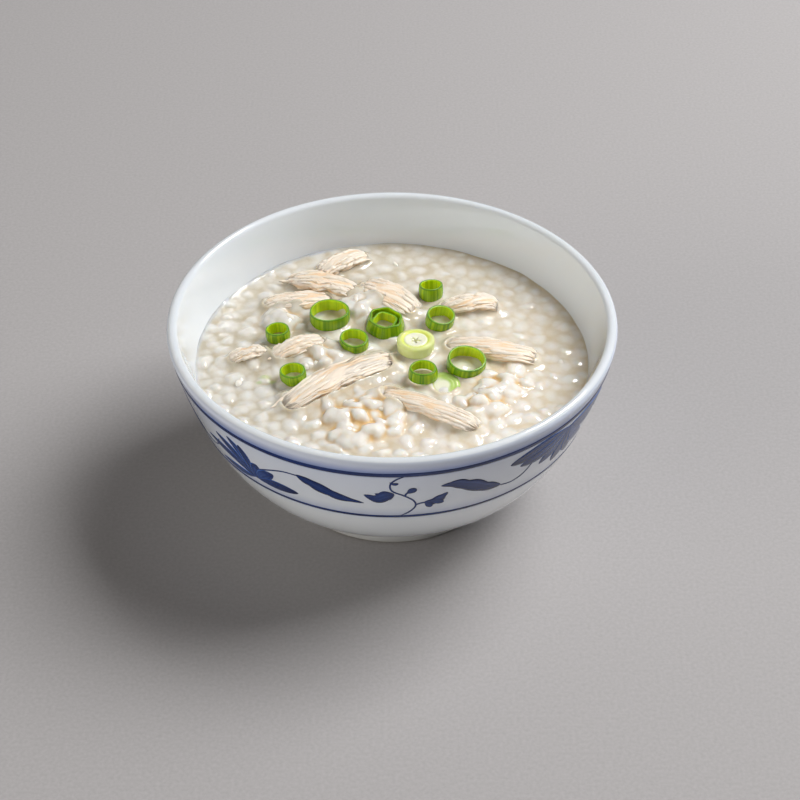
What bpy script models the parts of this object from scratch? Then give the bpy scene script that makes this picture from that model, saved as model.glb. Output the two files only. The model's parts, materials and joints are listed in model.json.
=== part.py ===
"""A porcelain rice bowl filled with chicken congee and sliced spring onion.

Metres, +Z up. The origin is the middle of the foot ring's underside, and the
front of the bowl faces -Y. The congee fills the bowl to LEVEL. Chicken shreds
lie half sunk in it, and the spring onion slices sit on top.
"""
import math
from dataclasses import dataclass, replace

import bmesh
import bpy
from mathutils import Euler, Vector, noise

MM = 0.001

# Driving dimensions of the bowl.
RIM_RADIUS = 57.5 * MM
WALL_TOP = 50.7 * MM            # the outer wall ends here and the round lip starts
LIP_THICKNESS = 2.9 * MM
WALL_GROWTH = 1.6 * MM          # how much thicker the wall gets towards the foot
FOOT_RADIUS = 29.3 * MM
FOOT_WIDTH = 3.4 * MM
FOOT_RECESS = 5.0 * MM
FOOT_CHAMFER = 0.7 * MM
TURN_STEPS = 48                 # faces round the bowl and round the congee

# Driving dimensions of the food.
LEVEL = 38.6 * MM               # where the congee meets the wall
HEAP_RISE = 0.9 * MM            # how far the rice heaps up in the middle
HEAP_RADIUS = 34.0 * MM
LUMP_RISE = 0.45 * MM
LUMP_SIZE = 6.0 * MM
GAP = 0.3 * MM                  # clearance between pieces that touch
CUT_RISE = 6.0 * MM             # how far a cut goes on above its topping, so that none is covered
SURFACE_RINGS = 14

# The outer wall is one cubic curve. Its points are (radius, height).
WALL_CURVE = (
    (0.467 * RIM_RADIUS, 6.4 * MM),
    (0.746 * RIM_RADIUS, 8.8 * MM),
    (0.882 * RIM_RADIUS, 22.2 * MM),
    (RIM_RADIUS, WALL_TOP),
)
WALL_START = 0.055              # curve parameter where the wall leaves the foot ring


@dataclass(frozen=True)
class Clump:
    """A low mound of rice: its middle, its radius and its rise, in mm."""

    x: float
    y: float
    radius: float
    rise: float


@dataclass(frozen=True)
class Shred:
    """A shred of chicken: its two ends, width, thickness and bend, in mm."""

    start: tuple
    end: tuple
    width: float
    thickness: float
    bend: float
    lift: float


@dataclass(frozen=True)
class Slice:
    """A spring onion slice, with sizes in mm and leans in degrees."""

    x: float
    y: float
    top: float
    diameter: float
    height: float
    wall: float
    lean_x: float = 0.0
    lean_y: float = 0.0
    corners: int = 0
    bulge: float = 0.02


CLUMPS = (
    Clump(-28.2, 16.0, 5.0, 1.0),
    Clump(-18.1, -2.0, 5.5, 1.3),
    Clump(-10.0, 17.8, 5.5, 1.4),
    Clump(-7.7, -25.4, 9.0, 1.4),
    Clump(27.7, -11.5, 6.0, 0.9),
    Clump(22.9, -19.5, 5.0, 0.8),
)

SHREDS = (
    Shred((-20.5, 36.0), (-7.4, 45.3), 5.0, 4.2, 1.0, 0.3),
    Shred((-27.9, 33.0), (-9.8, 27.2), 4.4, 4.0, 1.2, 0.9),
    Shred((-34.9, 21.1), (-15.5, 22.6), 4.4, 3.6, -1.0, 0.4),
    Shred((-7.6, 31.4), (5.6, 17.4), 6.2, 4.4, 0.8, 0.9),
    Shred((12.4, 20.2), (28.3, 22.6), 5.0, 4.2, 0.8, 0.7),
    Shred((13.6, 4.1), (37.7, -1.4), 5.6, 4.4, 0.8, 0.7),
    Shred((-27.3, -21.7), (0.0, -2.2), 7.2, 4.6, -1.5, 0.8),
    Shred((-2.8, -15.6), (21.8, -29.9), 5.4, 4.4, 1.0, 0.7),
    Shred((-42.6, -2.2), (-32.2, 1.8), 4.2, 3.6, 0.5, 0.3),
    Shred((-31.1, -1.4), (-17.4, 5.2), 5.0, 4.2, 0.6, 0.8),
)
SHRED_STATIONS = 9
SHRED_SIDES = 8
UPPER_SIDE = 0.3                # sine of the angle above which a cut reaches up
SHRED_TIP = 0.36                # width at a tip, as a share of the full width

SLICES = (
    Slice(10.3, 26.1, 43.0, 6.6, 3.8, 0.8, lean_x=-8.0),
    Slice(-16.7, 14.4, 43.2, 10.4, 3.4, 0.8),
    Slice(-30.0, 6.9, 42.7, 6.3, 3.2, 0.8, lean_y=-4.0),
    Slice(-9.9, 2.9, 42.9, 7.6, 3.2, 0.8, lean_x=5.0),
    Slice(-1.9, 11.2, 43.2, 11.3, 3.8, 1.0, lean_y=3.0, corners=6),
    Slice(12.9, 12.9, 42.8, 7.8, 3.6, 0.8, lean_x=6.0, lean_y=9.0),
    Slice(6.1, 2.0, 43.2, 9.2, 4.0, 3.6, bulge=0.06),
    Slice(19.1, -5.8, 42.9, 10.0, 3.4, 0.8, lean_x=7.0, lean_y=8.0),
    Slice(7.9, -10.3, 43.4, 7.3, 2.9, 0.8, bulge=-0.05),
    Slice(-25.3, -10.5, 42.8, 6.8, 3.0, 0.8, lean_y=-5.0),
    Slice(13.0, -12.7, 40.1, 7.4, 2.6, 2.6, lean_y=-5.0),
)
NESTED_IN = 4                   # the slice whose middle holds a second, smaller leaf
NESTED_LEAF = Slice(-2.1, 11.1, 42.8, 7.6, 3.2, 1.6, lean_y=3.0, corners=6)
NESTED_WALL = 3.85              # the wall of the one cut that clears both of them
SLICE_STEPS = 14


def make_material(name, colour, roughness):
    """Return a Principled material with this linear colour and roughness."""
    material = bpy.data.materials.new(name)
    material.use_nodes = True
    shader = material.node_tree.nodes["Principled BSDF"]
    shader.inputs["Base Color"].default_value = (*colour, 1.0)
    shader.inputs["Roughness"].default_value = roughness
    shader.inputs["Metallic"].default_value = 0.0
    return material


def make_object(name, mesh_builder, material=None):
    """Turn a bmesh into a linked object with its faces pointing out."""
    bmesh.ops.recalc_face_normals(mesh_builder, faces=mesh_builder.faces)
    mesh = bpy.data.meshes.new(name)
    mesh_builder.to_mesh(mesh)
    mesh_builder.free()
    mesh.shade_smooth()
    mesh.set_sharp_from_angle(angle=math.radians(40.0))
    if material:
        mesh.materials.append(material)
    made = bpy.data.objects.new(name, mesh)
    bpy.context.scene.collection.objects.link(made)
    return made


def cubic(points, t):
    """Return the (radius, height) at t on a cubic curve."""
    weights = ((1 - t) ** 3, 3 * t * (1 - t) ** 2, 3 * t * t * (1 - t), t ** 3)
    radius = sum(w * p[0] for w, p in zip(weights, points))
    height = sum(w * p[1] for w, p in zip(weights, points))
    return radius, height


def outward(points, t):
    """Return the unit normal of the curve at t, pointing away from the axis."""
    step = 0.001
    before = cubic(points, max(t - step, 0.0))
    after = cubic(points, min(t + step, 1.0))
    along = Vector((after[0] - before[0], after[1] - before[1])).normalized()
    return along.y, -along.x


def inner_wall(t):
    """Return the (radius, height) of the inner wall behind the outer wall at t."""
    radius, height = cubic(WALL_CURVE, t)
    normal = outward(WALL_CURVE, t)
    thickness = LIP_THICKNESS + WALL_GROWTH * (1.0 - t) ** 0.6
    return radius - normal[0] * thickness, height - normal[1] * thickness


def inner_radius(height):
    """Return the inner wall's radius at a height, by bisection along the wall."""
    low, high = 0.2, 1.0
    for _ in range(40):
        middle = 0.5 * (low + high)
        if inner_wall(middle)[1] < height:
            low = middle
        else:
            high = middle
    return inner_wall(low)[0]


def turn(profile, steps=TURN_STEPS):
    """Turn a profile that starts and ends on the axis into a closed bmesh."""
    built = bmesh.new()
    corners = [built.verts.new((radius, 0.0, height)) for radius, height in profile]
    edges = [built.edges.new(pair) for pair in zip(corners, corners[1:])]
    bmesh.ops.spin(
        built, geom=corners + edges, cent=(0.0, 0.0, 0.0), axis=(0.0, 0.0, 1.0),
        angle=math.tau, steps=steps, use_merge=True,
    )
    bmesh.ops.remove_doubles(built, verts=built.verts, dist=1e-6)
    return built


def foot_profile():
    """Return the underside, from the axis out to the top of the foot ring."""
    inner = FOOT_RADIUS - FOOT_WIDTH
    joint = cubic(WALL_CURVE, WALL_START)[1]
    return [
        (0.0, FOOT_RECESS),
        (inner - FOOT_CHAMFER, FOOT_RECESS),
        (inner, FOOT_RECESS - FOOT_CHAMFER),
        (inner, FOOT_CHAMFER),
        (inner + FOOT_CHAMFER, 0.0),
        (FOOT_RADIUS - FOOT_CHAMFER, 0.0),
        (FOOT_RADIUS, FOOT_CHAMFER),
        (FOOT_RADIUS, joint - 0.3 * MM),
    ]


def lip_profile(steps=4):
    """Return the round lip, from the outer wall over to the inner wall."""
    radius, height = cubic(WALL_CURVE, 1.0)
    normal = outward(WALL_CURVE, 1.0)
    half = 0.5 * LIP_THICKNESS
    middle = (radius - normal[0] * half, height - normal[1] * half)
    lean = math.atan2(normal[1], normal[0])
    turns = [lean + math.pi * index / steps for index in range(steps + 1)]
    return [(middle[0] + half * math.cos(a), middle[1] + half * math.sin(a)) for a in turns]


def bowl_profile(wall_steps=8):
    """Return the whole section of the bowl, from the underside to the floor."""
    spread = [WALL_START + (1.0 - WALL_START) * (i / wall_steps) ** 1.15 for i in range(wall_steps)]
    outer = [cubic(WALL_CURVE, t) for t in spread]
    inner = [inner_wall(t) for t in reversed(spread)]
    floor = inner[-1][1] - 0.3 * MM
    return foot_profile() + outer + lip_profile() + inner + [(0.5 * FOOT_RADIUS, floor), (0.0, floor)]


def make_bowl():
    """Build the bowl as one turned solid."""
    porcelain = make_material("porcelain", (0.66, 0.68, 0.70), 0.12)
    return make_object("bowl", turn(bowl_profile()), porcelain)


def surface_height(x, y):
    """Return the height of the congee's surface over a point of the plan."""
    distance = math.hypot(x, y)
    heap = HEAP_RISE * max(0.0, 1.0 - (distance / HEAP_RADIUS) ** 2)
    mounds = 0.0
    for clump in CLUMPS:
        away = math.hypot(x - clump.x * MM, y - clump.y * MM) / (clump.radius * MM)
        mounds += clump.rise * MM * math.exp(-away * away)
    lump = LUMP_RISE * noise.noise(Vector((x / LUMP_SIZE, y / LUMP_SIZE, 3.7)))
    return LEVEL + heap + mounds + lump


def congee_side():
    """Return the side and bottom of the congee, a gap inside the bowl's inner wall."""
    steps = 5
    side = []
    for index in range(steps + 1):
        t = WALL_START + (0.82 - WALL_START) * index / steps
        radius, height = inner_wall(t)
        normal = outward(WALL_CURVE, t)
        side.append((radius - normal[0] * GAP, height - normal[1] * GAP))
    side = [point for point in side if point[1] < LEVEL - 3.0 * MM]
    floor = side[0][1]
    return [(0.0, floor), (0.5 * FOOT_RADIUS, floor)] + side


def make_congee_mesh():
    """Build the congee: a turned side under a lumpy surface."""
    built = turn(congee_side())
    rim = [edge for edge in built.edges if edge.is_boundary]
    rings = [ordered_loop(rim)]
    edge_radius = inner_radius(LEVEL) - GAP
    start = math.atan2(rings[0][0].co.y, rings[0][0].co.x)
    for index in range(SURFACE_RINGS):
        share = 1.0 - index / SURFACE_RINGS
        ring = []
        for step in range(TURN_STEPS):
            angle = start + math.tau * step / TURN_STEPS
            x = edge_radius * share * math.cos(angle)
            y = edge_radius * share * math.sin(angle)
            height = LEVEL if index == 0 else surface_height(x, y)
            ring.append(built.verts.new((x, y, height)))
        rings.append(ring)
    for outer, inner in zip(rings, rings[1:]):
        for step in range(TURN_STEPS):
            after = (step + 1) % TURN_STEPS
            built.faces.new((outer[step], outer[after], inner[after], inner[step]))
    middle = built.verts.new((0.0, 0.0, surface_height(0.0, 0.0)))
    for step in range(TURN_STEPS):
        built.faces.new((rings[-1][step], rings[-1][(step + 1) % TURN_STEPS], middle))
    return built


def ordered_loop(edges):
    """Return the corners of a boundary loop, in order round the axis."""
    corners = {vert for edge in edges for vert in edge.verts}
    return sorted(corners, key=lambda vert: math.atan2(vert.co.y, vert.co.x) % math.tau)


def shred_path(shred, share):
    """Return the middle of a shred at a share of its length."""
    start = Vector((shred.start[0], shred.start[1], 0.0)) * MM
    end = Vector((shred.end[0], shred.end[1], 0.0)) * MM
    across = (end - start).cross(Vector((0.0, 0.0, 1.0))).normalized()
    point = start.lerp(end, share) + across * shred.bend * MM * math.sin(math.pi * share)
    rise = shred.lift * MM * math.sin(math.pi * share) + 0.4 * MM
    point.z = LEVEL + 0.15 * shred.thickness * MM + rise
    return point


def shred_mesh(shred, seed, grow=0.0):
    """Build a shred: a tapered, grooved bundle along a bent path."""
    built = bmesh.new()
    rings = []
    for index in range(SHRED_STATIONS):
        share = index / (SHRED_STATIONS - 1)
        middle = shred_path(shred, share)
        ahead = shred_path(shred, min(share + 0.01, 1.0)) - shred_path(shred, max(share - 0.01, 0.0))
        along = ahead.normalized()
        across = along.cross(Vector((0.0, 0.0, 1.0))).normalized()
        upward = across.cross(along)
        taper = SHRED_TIP + (1.0 - SHRED_TIP) * math.sin(math.pi * share) ** 0.5
        if share in (0.0, 1.0):
            middle = middle + along * grow * (1.0 if share else -1.0)
        ring = []
        for side in range(SHRED_SIDES):
            angle = math.tau * side / SHRED_SIDES + 0.8 * share
            groove = 1.0 + 0.09 * math.cos(4.0 * angle + seed) * math.sin(math.pi * share)
            wide = 0.5 * shred.width * MM * taper * groove + grow
            thick = 0.5 * shred.thickness * MM * taper * groove + grow
            offset = across * wide * math.cos(angle) + upward * thick * math.sin(angle)
            if grow and math.sin(angle) > UPPER_SIDE:
                offset.z += CUT_RISE
            ring.append(built.verts.new(middle + offset))
        rings.append(ring)
    for before, after in zip(rings, rings[1:]):
        for side in range(SHRED_SIDES):
            beside = (side + 1) % SHRED_SIDES
            built.faces.new((before[side], before[beside], after[beside], after[side]))
    built.faces.new(reversed(rings[0]))
    built.faces.new(rings[-1])
    return built


def slice_outline(piece, angle, seed):
    """Return the radius of a slice at an angle, as a share of its mean radius."""
    wobble = 0.035 * math.sin(2.0 * angle + seed) + 0.015 * math.sin(3.0 * angle + 2.0 * seed)
    if piece.corners:
        wobble += 0.04 * math.cos(piece.corners * angle + seed)
    return 1.0 + wobble


def slice_mesh(piece, seed, grow=0.0):
    """Build a slice: a short, slightly uneven tube that leans a little."""
    half = 0.5 * piece.height * MM
    outer = 0.5 * piece.diameter * MM
    inner = outer - piece.wall * MM - grow
    waist = outer * (1.0 + piece.bulge) + grow
    upper = half + (CUT_RISE if grow else 0.0)
    section = (
        (outer + grow, -half - grow), (waist, 0.0), (outer + grow, upper),
        (inner, upper), (inner, -half - grow),
    )
    lean = Euler((math.radians(piece.lean_x), math.radians(piece.lean_y), 0.0)).to_matrix()
    middle = Vector((piece.x, piece.y, piece.top)) * MM - lean @ Vector((0.0, 0.0, half))
    built = bmesh.new()
    rings = []
    for step in range(SLICE_STEPS):
        angle = math.tau * step / SLICE_STEPS
        share = slice_outline(piece, angle, seed)
        ring = []
        for radius, height in section:
            corner = Vector((radius * share * math.cos(angle), radius * share * math.sin(angle), height))
            ring.append(built.verts.new(middle + lean @ corner))
        rings.append(ring)
    for step in range(SLICE_STEPS):
        here, there = rings[step], rings[(step + 1) % SLICE_STEPS]
        for index in range(len(section)):
            after = (index + 1) % len(section)
            built.faces.new((here[index], there[index], there[after], here[after]))
    return built


def cut_round(target, cutter):
    """Cut a piece's own shape, a gap larger, out of another piece."""
    cutter.hide_render = True
    cutter.display_type = "WIRE"
    cut = target.modifiers.new("round_" + cutter.name, "BOOLEAN")
    cut.operation = "DIFFERENCE"
    cut.solver = "EXACT"
    cut.object = cutter


def make_toppings(congee):
    """Build the shreds and the slices, and cut the congee round each of them."""
    meat = make_material("cooked_chicken", (0.82, 0.68, 0.50), 0.45)
    leaf = make_material("spring_onion_leaf", (0.13, 0.27, 0.02), 0.35)
    stem = make_material("spring_onion_stem", (0.66, 0.72, 0.28), 0.35)
    for index, shred in enumerate(SHREDS):
        name = f"chicken_shred_{index + 1:02d}"
        make_object(name, shred_mesh(shred, index), meat)
        cut_round(congee, make_object(name + "_cutter", shred_mesh(shred, index, GAP)))
    for index, piece in enumerate(SLICES):
        name = f"spring_onion_{index + 1:02d}"
        colour = stem if piece.wall > 2.0 else leaf
        make_object(name, slice_mesh(piece, index), colour)
        if index == NESTED_IN:
            make_object(name + "_inner_leaf", slice_mesh(NESTED_LEAF, index), leaf)
            piece = replace(piece, wall=NESTED_WALL)
        cut_round(congee, make_object(name + "_cutter", slice_mesh(piece, index, GAP)))


def main():
    """Clear the scene, then build the bowl and its food."""
    for old in list(bpy.data.objects):
        bpy.data.objects.remove(old, do_unlink=True)
    make_bowl()
    porridge = make_material("congee", (0.72, 0.66, 0.55), 0.25)
    congee = make_object("congee", make_congee_mesh(), porridge)
    make_toppings(congee)


main()
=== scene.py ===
"""Looks for a porcelain rice bowl of chicken congee with sliced spring onion.

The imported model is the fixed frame. Each sub-assembly below is a class that
builds its own meshes round that frame, in metres with +Z up and the front of
the bowl towards -Y, and dresses them with a finish made of shader nodes.
"""
import json
import logging
import math
from dataclasses import dataclass, field, replace
from enum import Enum
from typing import Any

import bpy
import numpy as np
from mathutils import Euler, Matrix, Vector, noise

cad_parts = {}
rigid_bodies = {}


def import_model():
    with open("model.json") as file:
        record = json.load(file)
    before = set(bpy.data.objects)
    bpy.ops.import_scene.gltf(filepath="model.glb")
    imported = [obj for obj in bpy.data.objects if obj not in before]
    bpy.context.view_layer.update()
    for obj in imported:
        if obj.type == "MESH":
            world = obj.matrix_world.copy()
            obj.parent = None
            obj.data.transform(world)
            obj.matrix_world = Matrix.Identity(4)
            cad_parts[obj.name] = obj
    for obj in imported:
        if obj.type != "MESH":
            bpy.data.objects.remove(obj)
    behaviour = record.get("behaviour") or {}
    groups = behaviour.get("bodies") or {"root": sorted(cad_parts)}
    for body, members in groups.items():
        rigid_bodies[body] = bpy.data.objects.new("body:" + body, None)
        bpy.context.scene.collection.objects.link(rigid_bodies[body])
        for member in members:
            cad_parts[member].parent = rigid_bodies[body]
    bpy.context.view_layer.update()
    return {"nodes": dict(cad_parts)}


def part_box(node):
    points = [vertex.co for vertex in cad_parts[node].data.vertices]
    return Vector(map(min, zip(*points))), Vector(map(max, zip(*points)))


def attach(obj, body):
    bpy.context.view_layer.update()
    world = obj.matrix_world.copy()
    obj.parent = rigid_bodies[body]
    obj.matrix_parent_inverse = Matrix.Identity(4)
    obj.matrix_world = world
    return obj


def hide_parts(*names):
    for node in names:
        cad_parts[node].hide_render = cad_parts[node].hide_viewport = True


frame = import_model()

MM = 0.001
LOG = logging.getLogger("congee_bowl")
BODY = "root"
SEED = 41
# How the pieces' names start, for the lamps that reach only the food or only the bowl.
FOOD_NAMES = ("rice", "torn_chicken", "onion")
BOWL_NAMES = ("porcelain", "upper", "lower", "painted")


# ---------------------------------------------------------------- helpers

def linear(code: str) -> tuple[float, float, float, float]:
    """Turn an sRGB hex colour into linear light.

    Args:
        code: The colour as "#RRGGBB".

    Returns:
        Linear red, green, blue and an alpha of one.
    """
    shares = [int(code[start:start + 2], 16) / 255.0 for start in (1, 3, 5)]
    red, green, blue = (s / 12.92 if s <= 0.04045 else ((s + 0.055) / 1.055) ** 2.4 for s in shares)
    return red, green, blue, 1.0


def fill_sockets(node: bpy.types.Node, inputs: dict[Any, Any]) -> None:
    """Give a shader node its values, and link the ones that come from other nodes.

    Args:
        node: The node to fill.
        inputs: Socket name or number to a value, or to an output socket to link from.
    """
    for key, value in inputs.items():
        if isinstance(value, bpy.types.NodeSocket):
            node.id_data.links.new(value, node.inputs[key])
        else:
            node.inputs[key].default_value = value


def add_node(tree: bpy.types.NodeTree, kind: str, inputs: dict[Any, Any] | None = None,
             stops: list[tuple[float, str]] | None = None, **settings: Any) -> bpy.types.Node:
    """Add one shader node with its settings, values and links.

    Args:
        tree: The material's node tree.
        kind: Blender's name for the node type.
        inputs: Socket name or number to a value, or to an output socket to link from.
        stops: Positions and sRGB hex colours, for a colour ramp.
        **settings: Attributes to set on the node.

    Returns:
        The new node.
    """
    node = tree.nodes.new(kind)
    for key, value in settings.items():
        setattr(node, key, value)
    fill_sockets(node, inputs or {})
    if stops:
        ramp = node.color_ramp
        while len(ramp.elements) < len(stops):
            ramp.elements.new(0.5)
        for element, (position, code) in zip(ramp.elements, stops):
            element.position = position
            element.color = linear(code)
    return node


def blend(tree: bpy.types.NodeTree, share: Any, low: Any, high: Any,
          mode: str = "MIX") -> bpy.types.NodeSocket:
    """Mix two colours.

    Args:
        tree: The material's node tree.
        share: A number or a socket, from zero for low to one for high.
        low: A colour or a socket.
        high: A colour or a socket.
        mode: Blender's blend type.

    Returns:
        The mixed colour's socket.
    """
    node = add_node(tree, "ShaderNodeMix", {0: share, 6: low, 7: high},
                    data_type="RGBA", blend_type=mode, clamp_factor=True)
    return node.outputs[2]


def attribute(tree: bpy.types.NodeTree, name: str) -> bpy.types.NodeSocket:
    """Return the value socket of a mesh attribute."""
    return add_node(tree, "ShaderNodeAttribute", attribute_name=name).outputs["Fac"]


def sums(tree: bpy.types.NodeTree, kind: str, *values: Any) -> bpy.types.NodeSocket:
    """Return the result of one Math node on numbers or sockets."""
    node = add_node(tree, "ShaderNodeMath", dict(enumerate(values)), operation=kind)
    return node.outputs[0]


def grain(tree: bpy.types.NodeTree, size: float, detail: float = 2.0,
          stretch: tuple[float, float, float] = (1.0, 1.0, 1.0)) -> bpy.types.NodeSocket:
    """Return a noise value whose blotches have a real size.

    Args:
        tree: The material's node tree.
        size: The blotches' size in metres.
        detail: How many finer octaves to add.
        stretch: Factors on the object's own axes.

    Returns:
        The noise value's socket.
    """
    place = add_node(tree, "ShaderNodeTexCoord").outputs["Object"]
    scaled = add_node(tree, "ShaderNodeMapping", {"Vector": place, "Scale": stretch})
    made = add_node(tree, "ShaderNodeTexNoise", {"Vector": scaled.outputs[0], "Scale": 1.0 / size,
                                                 "Detail": detail, "Roughness": 0.55})
    return made.outputs[0]


def bump(tree: bpy.types.NodeTree, height: bpy.types.NodeSocket, strength: float,
         distance: float) -> bpy.types.NodeSocket:
    """Turn a value into relief that the light sees.

    Args:
        tree: The material's node tree.
        height: The value, where one is the highest.
        strength: How much of the relief shows, up to one.
        distance: The relief's height in metres.

    Returns:
        The bent normal's socket.
    """
    inputs = {"Height": height, "Strength": strength, "Distance": distance}
    return add_node(tree, "ShaderNodeBump", inputs).outputs[0]


def new_material(name: str) -> tuple[bpy.types.Material, bpy.types.NodeTree, bpy.types.Node]:
    """Make an empty material with a Principled shader.

    Args:
        name: The material's name.

    Returns:
        The material, its node tree and its Principled node.
    """
    material = bpy.data.materials.new(name)
    material.use_nodes = True
    tree = material.node_tree
    tree.nodes.clear()
    shader = add_node(tree, "ShaderNodeBsdfPrincipled")
    add_node(tree, "ShaderNodeOutputMaterial", {"Surface": shader.outputs[0]})
    return material, tree, shader


def mesh_piece(name: str, points: np.ndarray, faces: np.ndarray | list, material: bpy.types.Material,
               values: dict[str, np.ndarray] | None = None) -> bpy.types.Object:
    """Make a smooth mesh object from arrays.

    Args:
        name: The piece's name.
        points: One row of x, y, z in metres for each corner.
        faces: Corner numbers of each face.
        material: The finish to wear.
        values: Named numbers, one for each corner, that the finish reads.

    Returns:
        The linked object.
    """
    mesh = bpy.data.meshes.new(name)
    rows = faces.tolist() if isinstance(faces, np.ndarray) else faces
    mesh.from_pydata(points.tolist(), [], rows)
    for key, numbers in (values or {}).items():
        layer = mesh.attributes.new(key, "FLOAT", "POINT")
        layer.data.foreach_set("value", np.ascontiguousarray(numbers, dtype=np.float32))
    mesh.shade_smooth()
    mesh.materials.append(material)
    piece = bpy.data.objects.new(name, mesh)
    bpy.context.scene.collection.objects.link(piece)
    return piece


def place_piece(piece: bpy.types.Object, slot: str, *nodes: str) -> None:
    """Tie a piece to the body, hide the CAD nodes that it stands for, and log its record slot.

    Args:
        piece: The piece.
        slot: The record's material slot, which is only logged.
        *nodes: The CAD nodes that it replaces.
    """
    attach(piece, BODY)
    if nodes:
        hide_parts(*nodes)
    LOG.info("%s: %d faces, slot %s, replaces %s", piece.name, len(piece.data.polygons), slot, nodes)


def ring_faces(rings: int, steps: int, closed: bool = False) -> np.ndarray:
    """Return the quads of a grid of rings, each with its last corner joined to its first.

    Args:
        rings: How many rings of corners there are.
        steps: How many corners each ring has.
        closed: Whether the last ring joins the first one.

    Returns:
        One row of four corner numbers for each quad.
    """
    count = rings if closed else rings - 1
    first = np.arange(count)[:, None] * steps
    after = (np.arange(count)[:, None] + 1) % rings * steps
    step = np.arange(steps)[None, :]
    beside = (step + 1) % steps
    quads = np.stack([first + step, first + beside, after + beside, after + step], axis=-1)
    return quads.reshape(-1, 4)


def loft_faces(rings: int, steps: int, mirrored: bool = False) -> list[list[int]]:
    """Return the faces of a loft whose first and last rings close on a corner each.

    Those two corners are numbered after all the rings, the first ring's one first.

    Args:
        rings: How many rings of corners there are.
        steps: How many corners each ring has.
        mirrored: Whether the rings run the other way round, so that faces still point out.

    Returns:
        The corner numbers of each quad and each end triangle.
    """
    step = np.arange(steps)
    beside = (step + 1) % steps
    hub = rings * steps
    start = np.stack([np.full(steps, hub), beside, step], axis=-1)
    end = np.stack([np.full(steps, hub + 1), hub - steps + step, hub - steps + beside], axis=-1)
    order = -1 if mirrored else 1
    return [face for part in (ring_faces(rings, steps), start, end) for face in part[:, ::order].tolist()]


def all_round(column: np.ndarray, steps: int) -> np.ndarray:
    """Repeat a value for each ring at every step round it."""
    return np.repeat(column[:, None], steps, axis=1)


def noise_round(turns: np.ndarray, rough: float, level: float) -> np.ndarray:
    """Read a noise field on a circle, so that the values join up after a full turn.

    Args:
        turns: The angles in radians.
        rough: The circle's radius in the field; a larger one gives finer bumps.
        level: The circle's height in the field.

    Returns:
        One value for each angle, from about minus one to one.
    """
    return np.array([noise.noise(Vector((math.cos(a) * rough, math.sin(a) * rough, level))) for a in turns])


def smooth_path(points: list[tuple[float, ...]], count: int) -> np.ndarray:
    """Run a Catmull-Rom curve through points.

    Args:
        points: The points to pass through.
        count: How many points to return.

    Returns:
        The curve's points, evenly spread over the stretches.
    """
    knots = np.array(points, dtype=float)
    padded = np.vstack([2 * knots[0] - knots[1], knots, 2 * knots[-1] - knots[-2]])
    where = np.linspace(0.0, len(knots) - 1.0, count)
    first = np.minimum(where.astype(int), len(knots) - 2)
    t = (where - first)[:, None]
    a, b, c, d = (padded[first + shift] for shift in range(4))
    return 0.5 * (2 * b + (c - a) * t + (2 * a - 5 * b + 4 * c - d) * t ** 2
                  + (3 * b - a - 3 * c + d) * t ** 3)


def smooth_max(low: np.ndarray, high: np.ndarray, width: float) -> np.ndarray:
    """Return the larger of two height maps, with a fillet between them.

    Args:
        low: One height map.
        high: The other one.
        width: The fillet's width in metres.

    Returns:
        The joined height map.
    """
    overlap = np.maximum(width - np.abs(low - high), 0.0) / width
    return np.maximum(low, high) + overlap * overlap * width * 0.25


# One closed shell: its points, its faces and a value for each point.
Shell = tuple[np.ndarray, list[list[int]], np.ndarray]


@dataclass
class Shells:
    """Closed shells that are gathered into one mesh."""

    points: list[np.ndarray] = field(default_factory=list)
    faces: list[list[int]] = field(default_factory=list)
    values: list[np.ndarray] = field(default_factory=list)
    count: int = 0

    def add(self, points: np.ndarray, faces: list[list[int]], values: np.ndarray) -> None:
        """Add one shell.

        Args:
            points: Rows of x, y, z.
            faces: Corner numbers of each face, counted from the shell's own first corner.
            values: One number for each corner.
        """
        self.points.append(points)
        self.faces += [[corner + self.count for corner in face] for face in faces]
        self.values.append(values)
        self.count += len(points)

    def piece(self, name: str, material: bpy.types.Material, value_name: str) -> bpy.types.Object:
        """Make the gathered shells into one piece.

        Args:
            name: The piece's name.
            material: The finish to wear.
            value_name: What the finish calls the shells' values.

        Returns:
            The linked object.
        """
        values = {value_name: np.concatenate(self.values)}
        return mesh_piece(name, np.vstack(self.points), self.faces, material, values)


# ---------------------------------------------------------------- finishes

@dataclass(frozen=True)
class GlazedPorcelain:
    """White porcelain, thrown on a wheel, dipped in clear glaze and fired.

    The glaze gives a soft, almost white skin with sharp reflections. Cobalt
    bleeds into it beside the painted lines, which shows as a blue haze. The
    foot ring's edge is wiped clean of glaze, so it is dull and sandy, and the
    same grey runs a few mm up the foot as painted shade, where the foot stands
    in shadow.
    """

    white: str = "#EFF4F8"
    shade: str = "#E8EEF3"
    haze: str = "#456ABA"
    bare: str = "#8E8A82"

    def make(self) -> bpy.types.Material:
        """Make the finish.

        Returns:
            The material, with its shader nodes.
        """
        material, tree, shader = new_material("glazed_porcelain")
        body = blend(tree, grain(tree, 18 * MM), linear(self.white), linear(self.shade))
        body = blend(tree, attribute(tree, "haze"), body, linear(self.haze))
        # The unglazed grey of the foot's edge, which also runs up the foot as painted shade.
        body = blend(tree, attribute(tree, "bare"), body, linear(self.bare))
        fill_sockets(shader, {
            "Base Color": body,
            "Roughness": sums(tree, "MULTIPLY_ADD", attribute(tree, "bare"), 0.55, 0.13),
            # The glaze settles a little unevenly, which bends the reflections slightly.
            "Normal": bump(tree, grain(tree, 7 * MM, 1.0), 0.06, 0.12 * MM),
            "IOR": 1.52, "Coat Weight": 0.9, "Coat Roughness": 0.05,
            "Subsurface Weight": 0.12, "Subsurface Radius": (1.0, 0.9, 0.8), "Subsurface Scale": 1.2 * MM,
        })
        return material


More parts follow.
